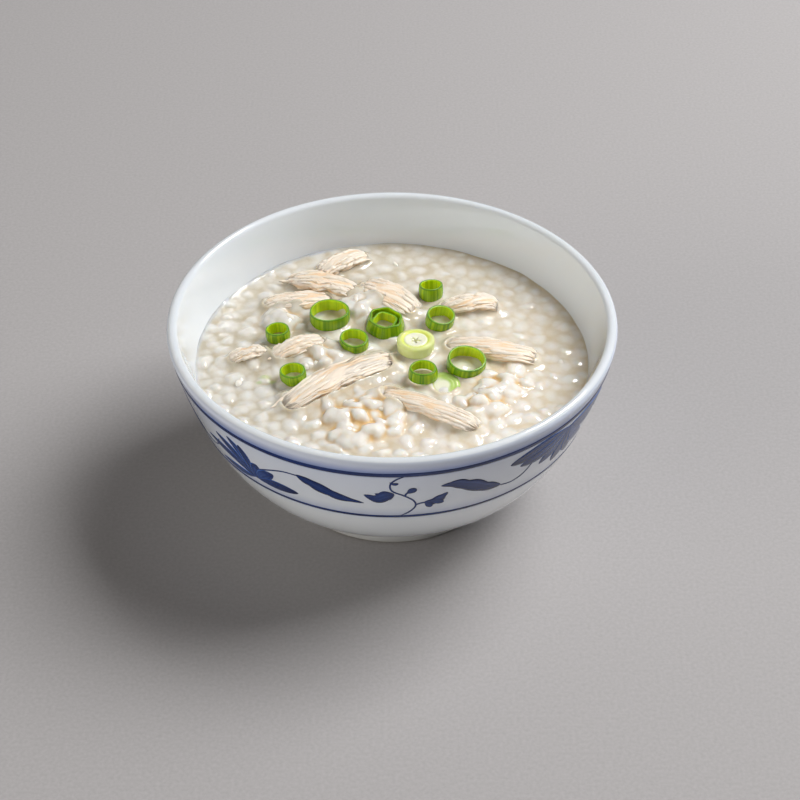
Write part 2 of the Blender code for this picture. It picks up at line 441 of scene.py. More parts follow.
@dataclass(frozen=True)
class CobaltPainting:
    """Cobalt oxide brushed on before the clear glaze.

    The brush leaves streaks along each stroke, and the pigment gathers at the
    stroke's edges and tip, so a leaf is darker there and paler inside.
    """

    pale: str = "#4A6FB2"
    middle: str = "#1D3874"
    dark: str = "#0C1A45"

    def make(self) -> bpy.types.Material:
        """Make the finish.

        Returns:
            The material, with its shader nodes.
        """
        material, tree, shader = new_material("cobalt_painting")
        streak = add_node(tree, "ShaderNodeMapRange", {"Value": attribute(tree, "tone")}).outputs[0]
        fine = grain(tree, 1.1 * MM, 3.0)
        mixed = sums(tree, "MULTIPLY_ADD", fine, 0.30, sums(tree, "SUBTRACT", streak, 0.15))
        colour = add_node(tree, "ShaderNodeValToRGB", {"Fac": mixed},
                          stops=[(0.0, self.dark), (0.45, self.middle), (1.0, self.pale)])
        fill_sockets(shader, {
            "Base Color": colour.outputs[0],
            "Roughness": 0.22, "IOR": 1.42, "Coat Weight": 0.15, "Coat Roughness": 0.05,
        })
        return material


@dataclass(frozen=True)
class RicePorridge:
    """Rice boiled until it bursts, in its own starchy water.

    Swollen grains lie at different depths, so each one fades from pearly
    white to the broth's beige as the broth over it gets thicker. Light
    spreads inside it, and a wet film gives small sharp highlights. The
    broth and the grains are painted lighter towards the right and darker
    towards the left back, as painted light against the wall's shadow on the
    right.
    """

    grain_white: str = "#ECEAE5"
    grain_shaded: str = "#E3E1DB"
    broth_shaded: str = "#BCB096"
    broth_lit: str = "#D6C8AD"
    warm: str = "#E4BC78"
    leaf: str = "#B4C77E"

    def make(self) -> bpy.types.Material:
        """Make the finish.

        Returns:
            The material, with its shader nodes.
        """
        material, tree, shader = new_material("rice_porridge")
        # Painted light: the broth and the grains are painted lighter towards the right and darker towards the
        # left back, against the wall's shadow on the right side of the food.
        milk = attribute(tree, "milk")
        broth = blend(tree, milk, linear(self.broth_shaded), linear(self.broth_lit))
        pearl = blend(tree, milk, linear(self.grain_shaded), linear(self.grain_white))
        fleck = sums(tree, "MULTIPLY_ADD", grain(tree, 1.0 * MM, 3.0), 0.36,
                     sums(tree, "SUBTRACT", attribute(tree, "cover"), 0.18))
        body = blend(tree, fleck, pearl, broth)
        body = blend(tree, attribute(tree, "warm"), body, linear(self.warm))
        body = blend(tree, attribute(tree, "leaf"), body, linear(self.leaf))
        fill_sockets(shader, {
            "Base Color": body,
            # Starch skins make the film slightly rough in places.
            "Roughness": sums(tree, "MULTIPLY_ADD", grain(tree, 2.5 * MM), 0.14, 0.05),
            "Normal": bump(tree, grain(tree, 1.3 * MM), 0.25, 0.14 * MM),
            "IOR": 1.36, "Coat Weight": 0.8, "Coat Roughness": 0.03,
            "Subsurface Weight": 0.75, "Subsurface Radius": (1.0, 0.82, 0.60), "Subsurface Scale": 1.7 * MM,
        })
        return material


@dataclass(frozen=True)
class CookedRice:
    """Whole cooked rice grains, half clear and wet.

    They are brighter than the porridge round them, some of them warmer than
    others, with a glassy film on top.
    """

    white: str = "#F1EEE8"
    warm: str = "#ECDDBF"

    def make(self) -> bpy.types.Material:
        """Make the finish.

        Returns:
            The material, with its shader nodes.
        """
        material, tree, shader = new_material("cooked_rice")
        tint = sums(tree, "MULTIPLY_ADD", grain(tree, 1.6 * MM), 0.3, attribute(tree, "warm"))
        fill_sockets(shader, {
            "Base Color": blend(tree, tint, linear(self.white), linear(self.warm)),
            "Normal": bump(tree, grain(tree, 0.6 * MM), 0.25, 0.10 * MM),
            "Roughness": 0.18, "IOR": 1.40, "Coat Weight": 0.5, "Coat Roughness": 0.06,
            "Subsurface Weight": 0.5, "Subsurface Radius": (1.0, 0.85, 0.65), "Subsurface Scale": 0.9 * MM,
        })
        return material


@dataclass(frozen=True)
class PoachedChicken:
    """Chicken breast, poached and torn along its fibres.

    The fibres are cream on the bundles and peach between them, with fine
    lines along them from single muscle fibres. The crease_shade colour,
    darker orange in the creases and on the undersides, is painted shade for
    the warm shadows there, and the torn ends are painted lighter against the
    shade in their folds.
    """

    cream: str = "#F2E4D3"
    peach: str = "#EDCFAA"
    crease_shade: str = "#DDA770"

    def make(self) -> bpy.types.Material:
        """Make the finish.

        Returns:
            The material, with its shader nodes.
        """
        material, tree, shader = new_material("poached_chicken")
        tone = sums(tree, "MULTIPLY_ADD", grain(tree, 1.8 * MM, 3.0), 0.34,
                    sums(tree, "SUBTRACT", attribute(tree, "tone"), 0.17))
        colour = add_node(tree, "ShaderNodeValToRGB", {"Fac": tone},
                          stops=[(0.0, self.crease_shade), (0.40, self.peach), (0.80, self.cream)])
        fill_sockets(shader, {
            "Base Color": colour.outputs[0],
            "Normal": bump(tree, tone, 0.5, 0.22 * MM),
            "Roughness": 0.36, "IOR": 1.40, "Coat Weight": 0.25, "Coat Roughness": 0.15,
            "Subsurface Weight": 0.35, "Subsurface Radius": (1.0, 0.80, 0.65), "Subsurface Scale": 0.45 * MM,
        })
        return material


@dataclass(frozen=True)
class OnionLeaf:
    """Hollow spring onion leaf, cut across with a knife.

    The outside is a waxy green with paler veins that run up the leaf, the
    inside a wet yellow green, and the cut edge is pale with a dark skin line.
    """

    dark: str = "#508600"
    light: str = "#A4BE12"
    inside: str = "#D4E21A"
    inside_dark: str = "#A8C606"
    cut: str = "#7CA632"
    skin: str = "#2E6428"

    def make(self) -> bpy.types.Material:
        """Make the finish.

        Returns:
            The material, with its shader nodes.
        """
        material, tree, shader = new_material("onion_leaf")
        vein = attribute(tree, "vein")
        outer = blend(tree, vein, linear(self.dark), linear(self.light))
        inner = blend(tree, vein, linear(self.inside_dark), linear(self.inside))
        body = blend(tree, attribute(tree, "inside"), outer, inner)
        body = blend(tree, attribute(tree, "cut"), body, linear(self.cut))
        body = blend(tree, attribute(tree, "skin"), body, linear(self.skin))
        fill_sockets(shader, {
            "Base Color": body,
            "Normal": bump(tree, vein, 0.25, 0.05 * MM),
            "Roughness": 0.26, "IOR": 1.42, "Coat Weight": 0.15, "Coat Roughness": 0.08,
            "Subsurface Weight": 0.5, "Subsurface Radius": (0.6, 1.0, 0.2), "Subsurface Scale": 1.2 * MM,
        })
        return material


@dataclass(frozen=True)
class OnionStem:
    """The pale lower stem of a spring onion, cut across.

    Its sheaths are wrapped round each other, so the cut face shows rings that
    go from a yellow green skin to a milky, half clear middle.
    """

    skin: str = "#D2DC84"
    rim: str = "#E0EC58"
    flesh: str = "#ECEDD6"
    hollow: str = "#C9C98C"
    green: str = "#A6C94A"

    def make(self) -> bpy.types.Material:
        """Make the finish.

        Returns:
            The material, with its shader nodes.
        """
        material, tree, shader = new_material("onion_stem")
        layer = attribute(tree, "layer")
        colour = add_node(tree, "ShaderNodeValToRGB", {"Fac": layer}, stops=[
            (0.0, self.hollow), (0.25, self.flesh), (0.60, self.flesh), (0.68, self.rim), (0.76, self.rim),
            (0.88, self.skin), (1.0, self.skin)])
        body = blend(tree, attribute(tree, "green"), colour.outputs[0], linear(self.green))
        body = blend(tree, sums(tree, "MULTIPLY", grain(tree, 1.2 * MM, 3.0), 0.35), body,
                     linear(self.flesh))
        fill_sockets(shader, {
            "Base Color": body,
            "Normal": bump(tree, attribute(tree, "vein"), 0.2, 0.05 * MM),
            "Roughness": 0.24, "IOR": 1.42, "Coat Weight": 0.4, "Coat Roughness": 0.08,
            "Subsurface Weight": 0.5, "Subsurface Radius": (0.9, 1.0, 0.45), "Subsurface Scale": 1.4 * MM,
        })
        return material


@dataclass(frozen=True)
class MattPaper:
    """The matt grey paper that the bowl is shown on, with a faint tooth."""

    colour: str = "#BEBBBB"
    fleck: str = "#A5A2A1"

    def make(self) -> bpy.types.Material:
        """Make the finish.

        Returns:
            The material, with its shader nodes.
        """
        material, tree, shader = new_material("matt_paper")
        body = blend(tree, grain(tree, 0.9 * MM, 3.0), linear(self.colour), linear(self.fleck))
        fill_sockets(shader, {"Base Color": body, "Roughness": 0.85})
        return material


# ---------------------------------------------------------------- the bowl

@dataclass(frozen=True)
class WallCurve:
    """The bowl's section: one cubic curve for the outer wall, and the inner wall behind it.

    Each of the curve's four points is a share of the rim's radius and a height
    in mm, as on the solid bowl. A place on the curve is t, from zero at the
    foot to one at the lip.
    """

    rim: float = field(default_factory=lambda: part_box("bowl")[1][0])
    shares: tuple[tuple[float, float], ...] = ((0.467, 6.4), (0.746, 8.8), (0.882, 22.2), (1.0, 50.7))
    start: float = 0.055
    lip: float = 2.9 * MM
    growth: float = 1.6 * MM

    def points(self) -> np.ndarray:
        """Return the curve's four points as rows of radius and height."""
        return np.array([(share * self.rim, height * MM) for share, height in self.shares])

    def outer(self, t: np.ndarray) -> np.ndarray:
        """Find places on the outer wall.

        Args:
            t: Where on the curve.

        Returns:
            Rows of radius and height.
        """
        t = np.asarray(t, dtype=float)[..., None]
        weights = ((1 - t) ** 3, 3 * t * (1 - t) ** 2, 3 * t * t * (1 - t), t ** 3)
        return sum(w * p for w, p in zip(weights, self.points()))

    def normal(self, t: np.ndarray) -> np.ndarray:
        """Find the wall's direction outwards.

        Args:
            t: Where on the curve.

        Returns:
            Rows of a unit vector's radius and height, pointing away from the axis.
        """
        t = np.asarray(t, dtype=float)
        nudge = 1e-4
        along = self.outer(np.minimum(t + nudge, 1.0)) - self.outer(np.maximum(t - nudge, 0.0))
        along /= np.linalg.norm(along, axis=-1, keepdims=True)
        return np.stack([along[..., 1], -along[..., 0]], axis=-1)

    def inner(self, t: np.ndarray, into: float = 0.0) -> np.ndarray:
        """Find places on the inner wall.

        Args:
            t: Where on the curve.
            into: How far into the wall the places lie, in metres.

        Returns:
            Rows of radius and height.
        """
        t = np.asarray(t, dtype=float)
        thickness = self.lip + self.growth * (1.0 - t) ** 0.6 - into
        return self.outer(t) - self.normal(t) * thickness[..., None]

    def lip_arc(self, steps: int) -> np.ndarray:
        """Round the lip off.

        Args:
            steps: How many stretches the half circle has.

        Returns:
            Rows of radius and height, from the outer wall over to the inner wall.
        """
        top, normal = self.outer(1.0), self.normal(1.0)
        half = 0.5 * self.lip
        middle = top - normal * half
        lean = math.atan2(normal[1], normal[0])
        turns = lean + math.pi * np.arange(1, steps) / steps
        return middle + half * np.stack([np.cos(turns), np.sin(turns)], axis=-1)

    def on_wall(self, height: np.ndarray) -> tuple[np.ndarray, np.ndarray]:
        """Find the outer wall at given heights.

        Args:
            height: The heights in metres.

        Returns:
            The wall's radius and its unit normal at each height.
        """
        t = np.linspace(0.0, 1.0, 600)
        curve, normals = self.outer(t), self.normal(t)
        radius = np.interp(height, curve[:, 1], curve[:, 0])
        across = np.interp(height, curve[:, 1], normals[:, 0])
        up = np.interp(height, curve[:, 1], normals[:, 1])
        return radius, np.stack([across, up], axis=-1)


@dataclass
class PorcelainBowl:
    """The turned bowl, its blue haze, and the foot ring with its unglazed edge and painted shade up its side.

    The haze lies along the two painted lines. It fades over haze_above and
    haze_below, and band_wash_and_shade between the lines goes through four
    strengths: a faint cobalt tint that is also painted shade, which makes the
    band darker than the wall under it.
    """

    curve: WallCurve = field(default_factory=WallCurve)
    finish: GlazedPorcelain = field(default_factory=GlazedPorcelain)
    foot_radius: float = 29.3 * MM
    foot_width: float = 3.4 * MM
    recess: float = 5.0 * MM
    edge: float = 0.7 * MM
    line_heights: tuple[float, float] = (47.8 * MM, 29.7 * MM)
    haze_strengths: tuple[float, float] = (0.95, 0.45)
    haze_above: float = 3.0 * MM
    haze_below: float = 0.9 * MM
    band_wash_and_shade: tuple[float, ...] = (0.0, 0.08, 0.20, 0.26)
    wall_rings: int = 90
    inside_rings: int = 40
    lip_steps: int = 14
    turn_steps: int = 240

    def foot(self) -> list[tuple[float, float]]:
        """Draw the underside's section: the recess, the ring's two round edges and its outside.

        Returns:
            Rows of radius and height, from the axis to the top of the foot ring.
        """
        inner, edge = self.foot_radius - self.foot_width, self.edge
        joint = self.curve.outer(self.curve.start)
        quarter = [math.radians(a) for a in (0, 22.5, 45, 67.5, 90)]
        section = [(0.0, self.recess), (0.6 * inner, self.recess), (inner - edge, self.recess)]
        section += [(inner, self.recess - edge), (inner, 2.0 * edge), (inner, edge)]
        section += [(inner + edge * (1 - math.cos(a)), edge * (1 - math.sin(a))) for a in quarter[1:]]
        outer = self.foot_radius - edge
        section += [(outer + edge * math.sin(a), edge * (1 - math.cos(a))) for a in quarter]
        section += [(self.foot_radius, height * joint[1]) for height in (0.3, 0.6, 0.82)]
        section += [(self.foot_radius + 0.10 * MM, 0.92 * joint[1]), (self.foot_radius + 0.45 * MM, joint[1])]
        return section

    def build(self) -> bpy.types.Object:
        """Build and dress the bowl.

        Returns:
            The bowl's object.
        """
        foot = np.array(self.foot())
        wall = np.linspace(self.curve.start + 0.02, 1.0, self.wall_rings)
        outer, lip = self.curve.outer(wall), self.curve.lip_arc(self.lip_steps)
        inner = self.curve.inner(np.linspace(1.0, self.curve.start, self.inside_rings))
        floor = inner[-1, 1] - 0.2 * MM
        tail = np.array([(0.7 * inner[-1, 0], floor), (0.35 * inner[-1, 0], floor), (0.0, floor)])
        section = np.vstack([foot, outer, lip, inner, tail])
        section[:, 0] *= self.curve.rim / section[:, 0].max()
        section[:, 1] *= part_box("bowl")[1][2] / section[:, 1].max()
        # The haze ends a third of the way over the lip.
        outside = np.zeros(len(section))
        outside[len(foot):len(foot) + len(outer) + 4] = 1.0
        # The foot ring's edge is unglazed grey, and the grey carries on up to 8 mm as painted shade, where
        # the foot stands in shadow.
        bare = np.interp(section[:, 1] / MM, (0.2, 0.5, 0.8, 5.5, 8.0), (1.0, 0.9, 0.60, 0.55, 0.0))
        return self.turned(section, {"haze": self.haze(section[:, 1]) * outside, "bare": bare})

    def haze(self, height: np.ndarray) -> np.ndarray:
        """Tint the glaze with the cobalt that bleeds out of the painting, and darken the band between the
        lines with painted shade.

        Args:
            height: Heights in metres.

        Returns:
            How blue the glaze is at each height, from zero to about one.
        """
        haze = np.zeros(len(height))
        for line, strength in zip(self.line_heights, self.haze_strengths):
            away = height - line
            away = np.where(away > 0.0, away / self.haze_above, -away / self.haze_below)
            haze += strength * np.exp(-away ** 1.3)
        # A faint cobalt tint between the lines, the most under the upper one, which is also painted shade
        # that darkens the band.
        upper, lower = self.line_heights
        band_wash_and_shade = np.interp(height, (lower, lower + 3 * MM, upper - 4 * MM, upper), self.band_wash_and_shade, 0.0, 0.0)
        return np.maximum(haze, band_wash_and_shade)

    def turned(self, section: np.ndarray, values: dict[str, np.ndarray]) -> bpy.types.Object:
        """Turn the section round the axis.

        Args:
            section: Rows of radius and height, from axis to axis.
            values: Named numbers, one for each row of the section.

        Returns:
            The turned object.
        """
        turns = -np.pi / 2 + math.tau * np.arange(self.turn_steps) / self.turn_steps
        body = section[1:-1]
        x = body[:, 0, None] * np.cos(turns)
        y = body[:, 0, None] * np.sin(turns)
        z = all_round(body[:, 1], self.turn_steps)
        points = np.stack([x, y, z], axis=-1).reshape(-1, 3)
        points = np.vstack([points, (0, 0, section[0, 1]), (0, 0, section[-1, 1])])
        faces = loft_faces(len(body), self.turn_steps)
        spread = {key: np.append(np.repeat(v[1:-1], self.turn_steps), (v[0], v[-1]))
                  for key, v in values.items()}
        return mesh_piece("porcelain_bowl", points, faces, self.finish.make(), spread)


# ---------------------------------------------------------------- the painting

class Outline(Enum):
    """How the width of a brush stroke goes from its start to its tip."""

    LINE = "line"
    LEAF = "leaf"
    PETAL = "petal"
    BUD = "bud"

    def width(self, share: np.ndarray) -> np.ndarray:
        """Shape the stroke's half width.

        Args:
            share: Places along the stroke, from zero at its start to one at its tip.

        Returns:
            The half width at each place, where one is the widest.
        """
        if self is Outline.LINE:
            return np.clip(np.minimum(share, 1.0 - share) * 12.0, 0.35, 1.0)
        if self is Outline.LEAF:
            return np.sin(np.pi * share ** 0.8) ** 0.8 + 0.03
        if self is Outline.PETAL:
            return np.sin(np.pi * share ** 1.25) ** 0.7 + 0.04
        return np.sin(np.pi * share ** 1.4) ** 0.6 + 0.05


@dataclass(frozen=True)
class Stroke:
    """One brush stroke on the wall.

    Its path's points are degrees round the bowl from the front and mm of
    height, its width is in mm, and its teeth are the bumps along its edge.
    """

    path: tuple[tuple[float, float], ...]
    width: float
    outline: Outline = Outline.LINE
    teeth: int = 0
    tone: float = 0.35


@dataclass
class PaintedBand:
    """The cobalt lines and the blossom and leaf scroll between them.

    The lines are a middle height and a width in mm, and mean_radius is the
    wall's radius in mm at the middle of the band.
    """

    curve: WallCurve = field(default_factory=WallCurve)
    finish: CobaltPainting = field(default_factory=CobaltPainting)
    lines: tuple[tuple[float, float], ...] = ((47.8, 1.35), (29.7, 1.0))
    proud: float = 0.04 * MM
    layer: float = 0.0015 * MM
    layers: int = 12
    margin: float = 0.2
    mean_radius: float = 54.0
    repeats: int = 4
    columns: int = 9
    stroke_rows: int = 44
    line_rows: int = 36
    line_steps: int = 360

    def scroll(self) -> list[Stroke]:
        """Draw the stem, leaves, buds and tendrils between two blossoms.

        Returns:
            The strokes of the first repeat, round the front of the bowl.
        """
        leaf, bud = Outline.LEAF, Outline.BUD
        return [
            Stroke(((-37.8, 37.5), (-31.7, 40.6), (-27.8, 42.0), (-23.5, 42.3)), 0.42),
            Stroke(((-24.5, 42.5), (-20.0, 40.4), (-14.0, 37.4), (-7.2, 35.7)), 3.0, leaf, 3, 0.30),
            Stroke(((0.6, 40.2), (-1.6, 39.2), (-3.9, 38.0), (-7.0, 39.4)), 3.6, leaf, 2, 0.34),
            Stroke(((3.0, 47.2), (1.2, 46.2), (-0.3, 44.2), (0.1, 41.4), (3.1, 39.3), (5.6, 37.0),
                    (6.2, 34.4), (4.6, 31.8), (2.4, 30.2)), 0.45),
            Stroke(((-0.5, 45.0), (0.6, 44.3), (1.7, 44.5)), 1.0, bud),
            Stroke(((3.4, 39.1), (3.6, 40.0), (4.2, 40.8)), 0.5),
            Stroke(((3.9, 40.2), (4.9, 41.2), (6.1, 42.2)), 1.9, bud),
            Stroke(((6.0, 34.9), (7.5, 35.6), (8.8, 35.8)), 0.5),
            Stroke(((8.3, 35.8), (10.8, 35.8), (12.8, 37.4), (14.3, 39.0)), 2.4, leaf, 2),
            Stroke(((8.6, 35.8), (9.6, 34.7), (10.4, 33.4)), 1.7, bud),
            Stroke(((9.6, 36.6), (11.6, 35.8), (13.6, 34.9)), 2.0, bud),
            Stroke(((29.6, 35.9), (25.0, 37.4), (20.0, 40.2), (16.0, 42.0), (12.3, 42.1)),
                   3.5, leaf, 3, 0.30),
            Stroke(((29.0, 35.9), (33.0, 35.2), (36.6, 36.6), (39.2, 40.4)), 0.42),
        ]

    def blossom(self, middle: float, upward: bool) -> list[Stroke]:
        """Return the petals of one blossom.

        Args:
            middle: The blossom's place in degrees round the bowl.
            upward: Whether it opens up from the lower line, or down from the upper one.

        Returns:
            The petals, the ones at the back first.
        """
        root = 33.0 if upward else 45.5
        tips = ((-17.0, 39.0, 2.8), (-11.5, 43.4, 2.9), (-6.5, 45.3, 2.6), (-2.8, 44.4, 2.4),
                (2.0, 39.6, 3.2), (7.0, 38.6, 3.6), (13.6, 34.0, 3.4), (-14.0, 32.4, 2.6))
        if not upward:
            tips = ((-20.0, 42.9, 4.8), (-16.5, 40.6, 4.2), (-9.0, 36.8, 4.4), (-3.0, 33.8, 4.0),
                    (3.5, 33.6, 4.0), (9.5, 36.2, 4.4), (15.0, 40.0, 4.4), (19.0, 44.2, 4.2))
        petals = []
        for index, (turn, height, width) in enumerate(tips):
            # Every second petal bends a little higher, so that neighbours overlap.
            bend = root + 0.62 * (height - root) + (0.36 if upward else 0.48) * (-1) ** index
            path = ((middle + 0.05 * turn, root), (middle + 0.45 * turn, bend), (middle + turn, height))
            petals.append(Stroke(path, width, Outline.PETAL, tone=0.42 + 0.10 * (index % 3)))
        return petals

    def strokes(self) -> list[Stroke]:
        """Repeat the scroll and the blossoms round the bowl.

        Returns:
            Every stroke of the band.
        """
        drawn = []
        for turn in range(self.repeats):
            shift = 360.0 / self.repeats * turn
            for stroke in self.scroll():
                moved = tuple((angle + shift, height) for angle, height in stroke.path)
                drawn.append(replace(stroke, path=moved))
            drawn += self.blossom(-39.0 + shift, turn % 2 == 0)
        return drawn

    def wrap(self, angle: np.ndarray, height: np.ndarray, lift: float) -> np.ndarray:
        """Put band points on the wall.

        Args:
            angle: Degrees round the bowl from the front.
            height: Heights in metres.
            lift: How far off the wall, in metres.

        Returns:
            Rows of x, y, z.
        """
        radius, normal = self.curve.on_wall(height)
        out = radius + normal[..., 0] * lift
        turn = np.radians(angle)
        return np.stack([out * np.sin(turn), -out * np.cos(turn), height + normal[..., 1] * lift], axis=-1)

    def stroke_grid(self, stroke: Stroke, order: int) -> Shell:
        """Lay one stroke on the wall as a thin closed shell.

        Args:
            stroke: The stroke.
            order: Its number, which lifts it a hair over the strokes before it.

        Returns:
            The shell's points, its faces and its tones.
        """
        rows = self.line_rows if stroke.outline is Outline.LINE else self.stroke_rows
        degree = math.radians(1.0) * self.mean_radius
        flat = smooth_path(list(stroke.path), rows) * (degree, 1.0)
        along = np.gradient(flat, axis=0)
        along /= np.linalg.norm(along, axis=1, keepdims=True)
        aside = np.stack([-along[:, 1], along[:, 0]], axis=1)
        share = np.linspace(0.0, 1.0, rows)
        half = 0.5 * stroke.width * stroke.outline.width(share)
        across = np.linspace(-1.0, 1.0, self.columns)
        wide = half[:, None] * across[None, :]
        if stroke.teeth:
            bumps = np.abs(np.sin(math.pi * (stroke.teeth + 0.5) * share)) * np.sin(np.pi * share)
            sides = 0.45 * np.clip(across, 0.0, 1.0) - np.clip(-across, 0.0, 1.0)
            wide += 0.16 * stroke.width * bumps[:, None] * sides[None, :]
        spot = flat[:, None, :] + aside[:, None, :] * wide[..., None]
        angle = spot[..., 0] / degree
        upper, lower = (height for height, _ in self.lines)
        height = np.clip(spot[..., 1], lower + self.margin, upper - self.margin) * MM
        lift = self.proud + self.layer * (order % self.layers)
        top = self.wrap(angle, height, lift).reshape(-1, 3)
        under = self.wrap(angle, height, -self.proud).reshape(-1, 3)
        streak = np.array([noise.noise(Vector((c * 3.1, order * 1.7, 0.0))) for c in across])
        # The pigment gathers at the stroke's edges, and along a petal at its tip.
        tone = stroke.tone + 0.35 * streak[None, :] - 0.22 * np.abs(across)[None, :] ** 3
        tone = tone + 0.12 * np.sin(np.pi * share)[:, None] - 0.05
        if stroke.outline is Outline.PETAL:
            tone = tone + 0.70 * np.abs(across)[None, :] ** 9 - 0.35 * share[:, None] ** 2
        faces = self.shell_faces(rows, self.columns).tolist()
        return np.vstack([top, under]), faces, np.tile(tone.ravel(), 2)

    @staticmethod
    def shell_faces(rows: int, columns: int) -> np.ndarray:
        """Join two grids at their edges.

        Args:
            rows: How many rows of corners a grid has.
            columns: How many corners each row has.

        Returns:
            The quads of the upper grid, the lower grid and the side between them.
        """
        number = np.arange(rows * columns).reshape(rows, columns)
        quads = np.stack([number[:-1, :-1], number[:-1, 1:], number[1:, 1:], number[1:, :-1]], axis=-1)
        upper = quads.reshape(-1, 4)
        lower = upper[:, ::-1] + rows * columns
        edge = np.concatenate([number[0, :], number[1:, -1], number[-1, -2::-1], number[-2:0:-1, 0]])
        beside = np.roll(edge, -1)
        sides = np.stack([edge, edge + rows * columns, beside + rows * columns, beside], axis=-1)
        return np.vstack([upper, lower, sides])

    def build(self) -> list[bpy.types.Object]:
        """Build the two lines and the scroll.

        Returns:
            The painted pieces.
        """
        material = self.finish.make()
        pieces = [self.line(name, height, width, material)
                  for name, (height, width) in zip(("upper_line", "lower_line"), self.lines)]
        scroll = Shells()
        for order, stroke in enumerate(self.strokes()):
            scroll.add(*self.stroke_grid(stroke, order))
        return [*pieces, scroll.piece("painted_scroll", material, "tone")]

    def line(self, name: str, height: float, width: float,
             material: bpy.types.Material) -> bpy.types.Object:
        """Build one painted line round the bowl.

        Args:
            name: The piece's name.
            height: The line's middle in mm.
            width: Its width in mm.
            material: The cobalt finish.

        Returns:
            The line's object.
        """
        steps = self.line_steps
        angle = np.arange(steps) * 360.0 / steps
        sway = noise_round(np.radians(angle), 3.0, height)
        rows = np.linspace(-0.5, 0.5, 5)
        top, under = [], []
        for row in rows:
            level = (height + row * width * (1.0 + 0.15 * sway) + 0.05 * sway) * MM
            lift = self.proud * math.sqrt(max(0.0, 1.0 - (1.9 * row) ** 2))
            top.append(self.wrap(angle, level, lift + 0.005 * MM))
            under.append(self.wrap(angle, level, -self.proud))
        points = np.concatenate(top + under[::-1])
        rings = 2 * len(rows)
        tone = 0.16 + 0.25 * np.tile(sway, rings) + 0.15 * np.repeat(np.tile(np.abs(rows), 2), steps)
        return mesh_piece(name, points, ring_faces(rings, steps, closed=True), material, {"tone": tone})


# ---------------------------------------------------------------- the porridge

@dataclass(frozen=True)
class Mound:
    """A low mound of rice: its middle, radius and rise in mm, and how warm its colour is."""

    x: float
    y: float
    radius: float
    rise: float
    warm: float = 0.0


MOUNDS = (
    Mound(-28.2, 16.0, 5.5, 1.2, 0.15),
    Mound(-18.1, -2.0, 5.5, 1.3, 0.15),
    Mound(-8.5, 19.5, 6.0, 1.6, 0.15),
    Mound(-7.7, -25.4, 9.0, 1.4, 0.35),
    Mound(27.7, -11.5, 6.0, 0.9, 0.25),
    Mound(22.9, -19.5, 5.0, 0.8, 0.20),
)


@dataclass(frozen=True)
class GrainLayer:
    """One layer of swollen grains, in mm.

    Spacing is the least distance between two middles, sizes the least and
    most half length, tops the least and most height of a grain's top over the
    broth, and sink how much deeper it lies where the broth is clear.
    """

    spacing: float
    sizes: tuple[float, float]
    tops: tuple[float, float]
    sink: float


GRAIN_LAYERS = (
    GrainLayer(3.0, (1.9, 3.0), (-2.4, -1.3), 0.6),
    GrainLayer(3.3, (1.8, 3.0), (-0.8, 0.1), 0.7),
    GrainLayer(3.9, (1.6, 3.1), (0.15, 0.80), 0.6),
)


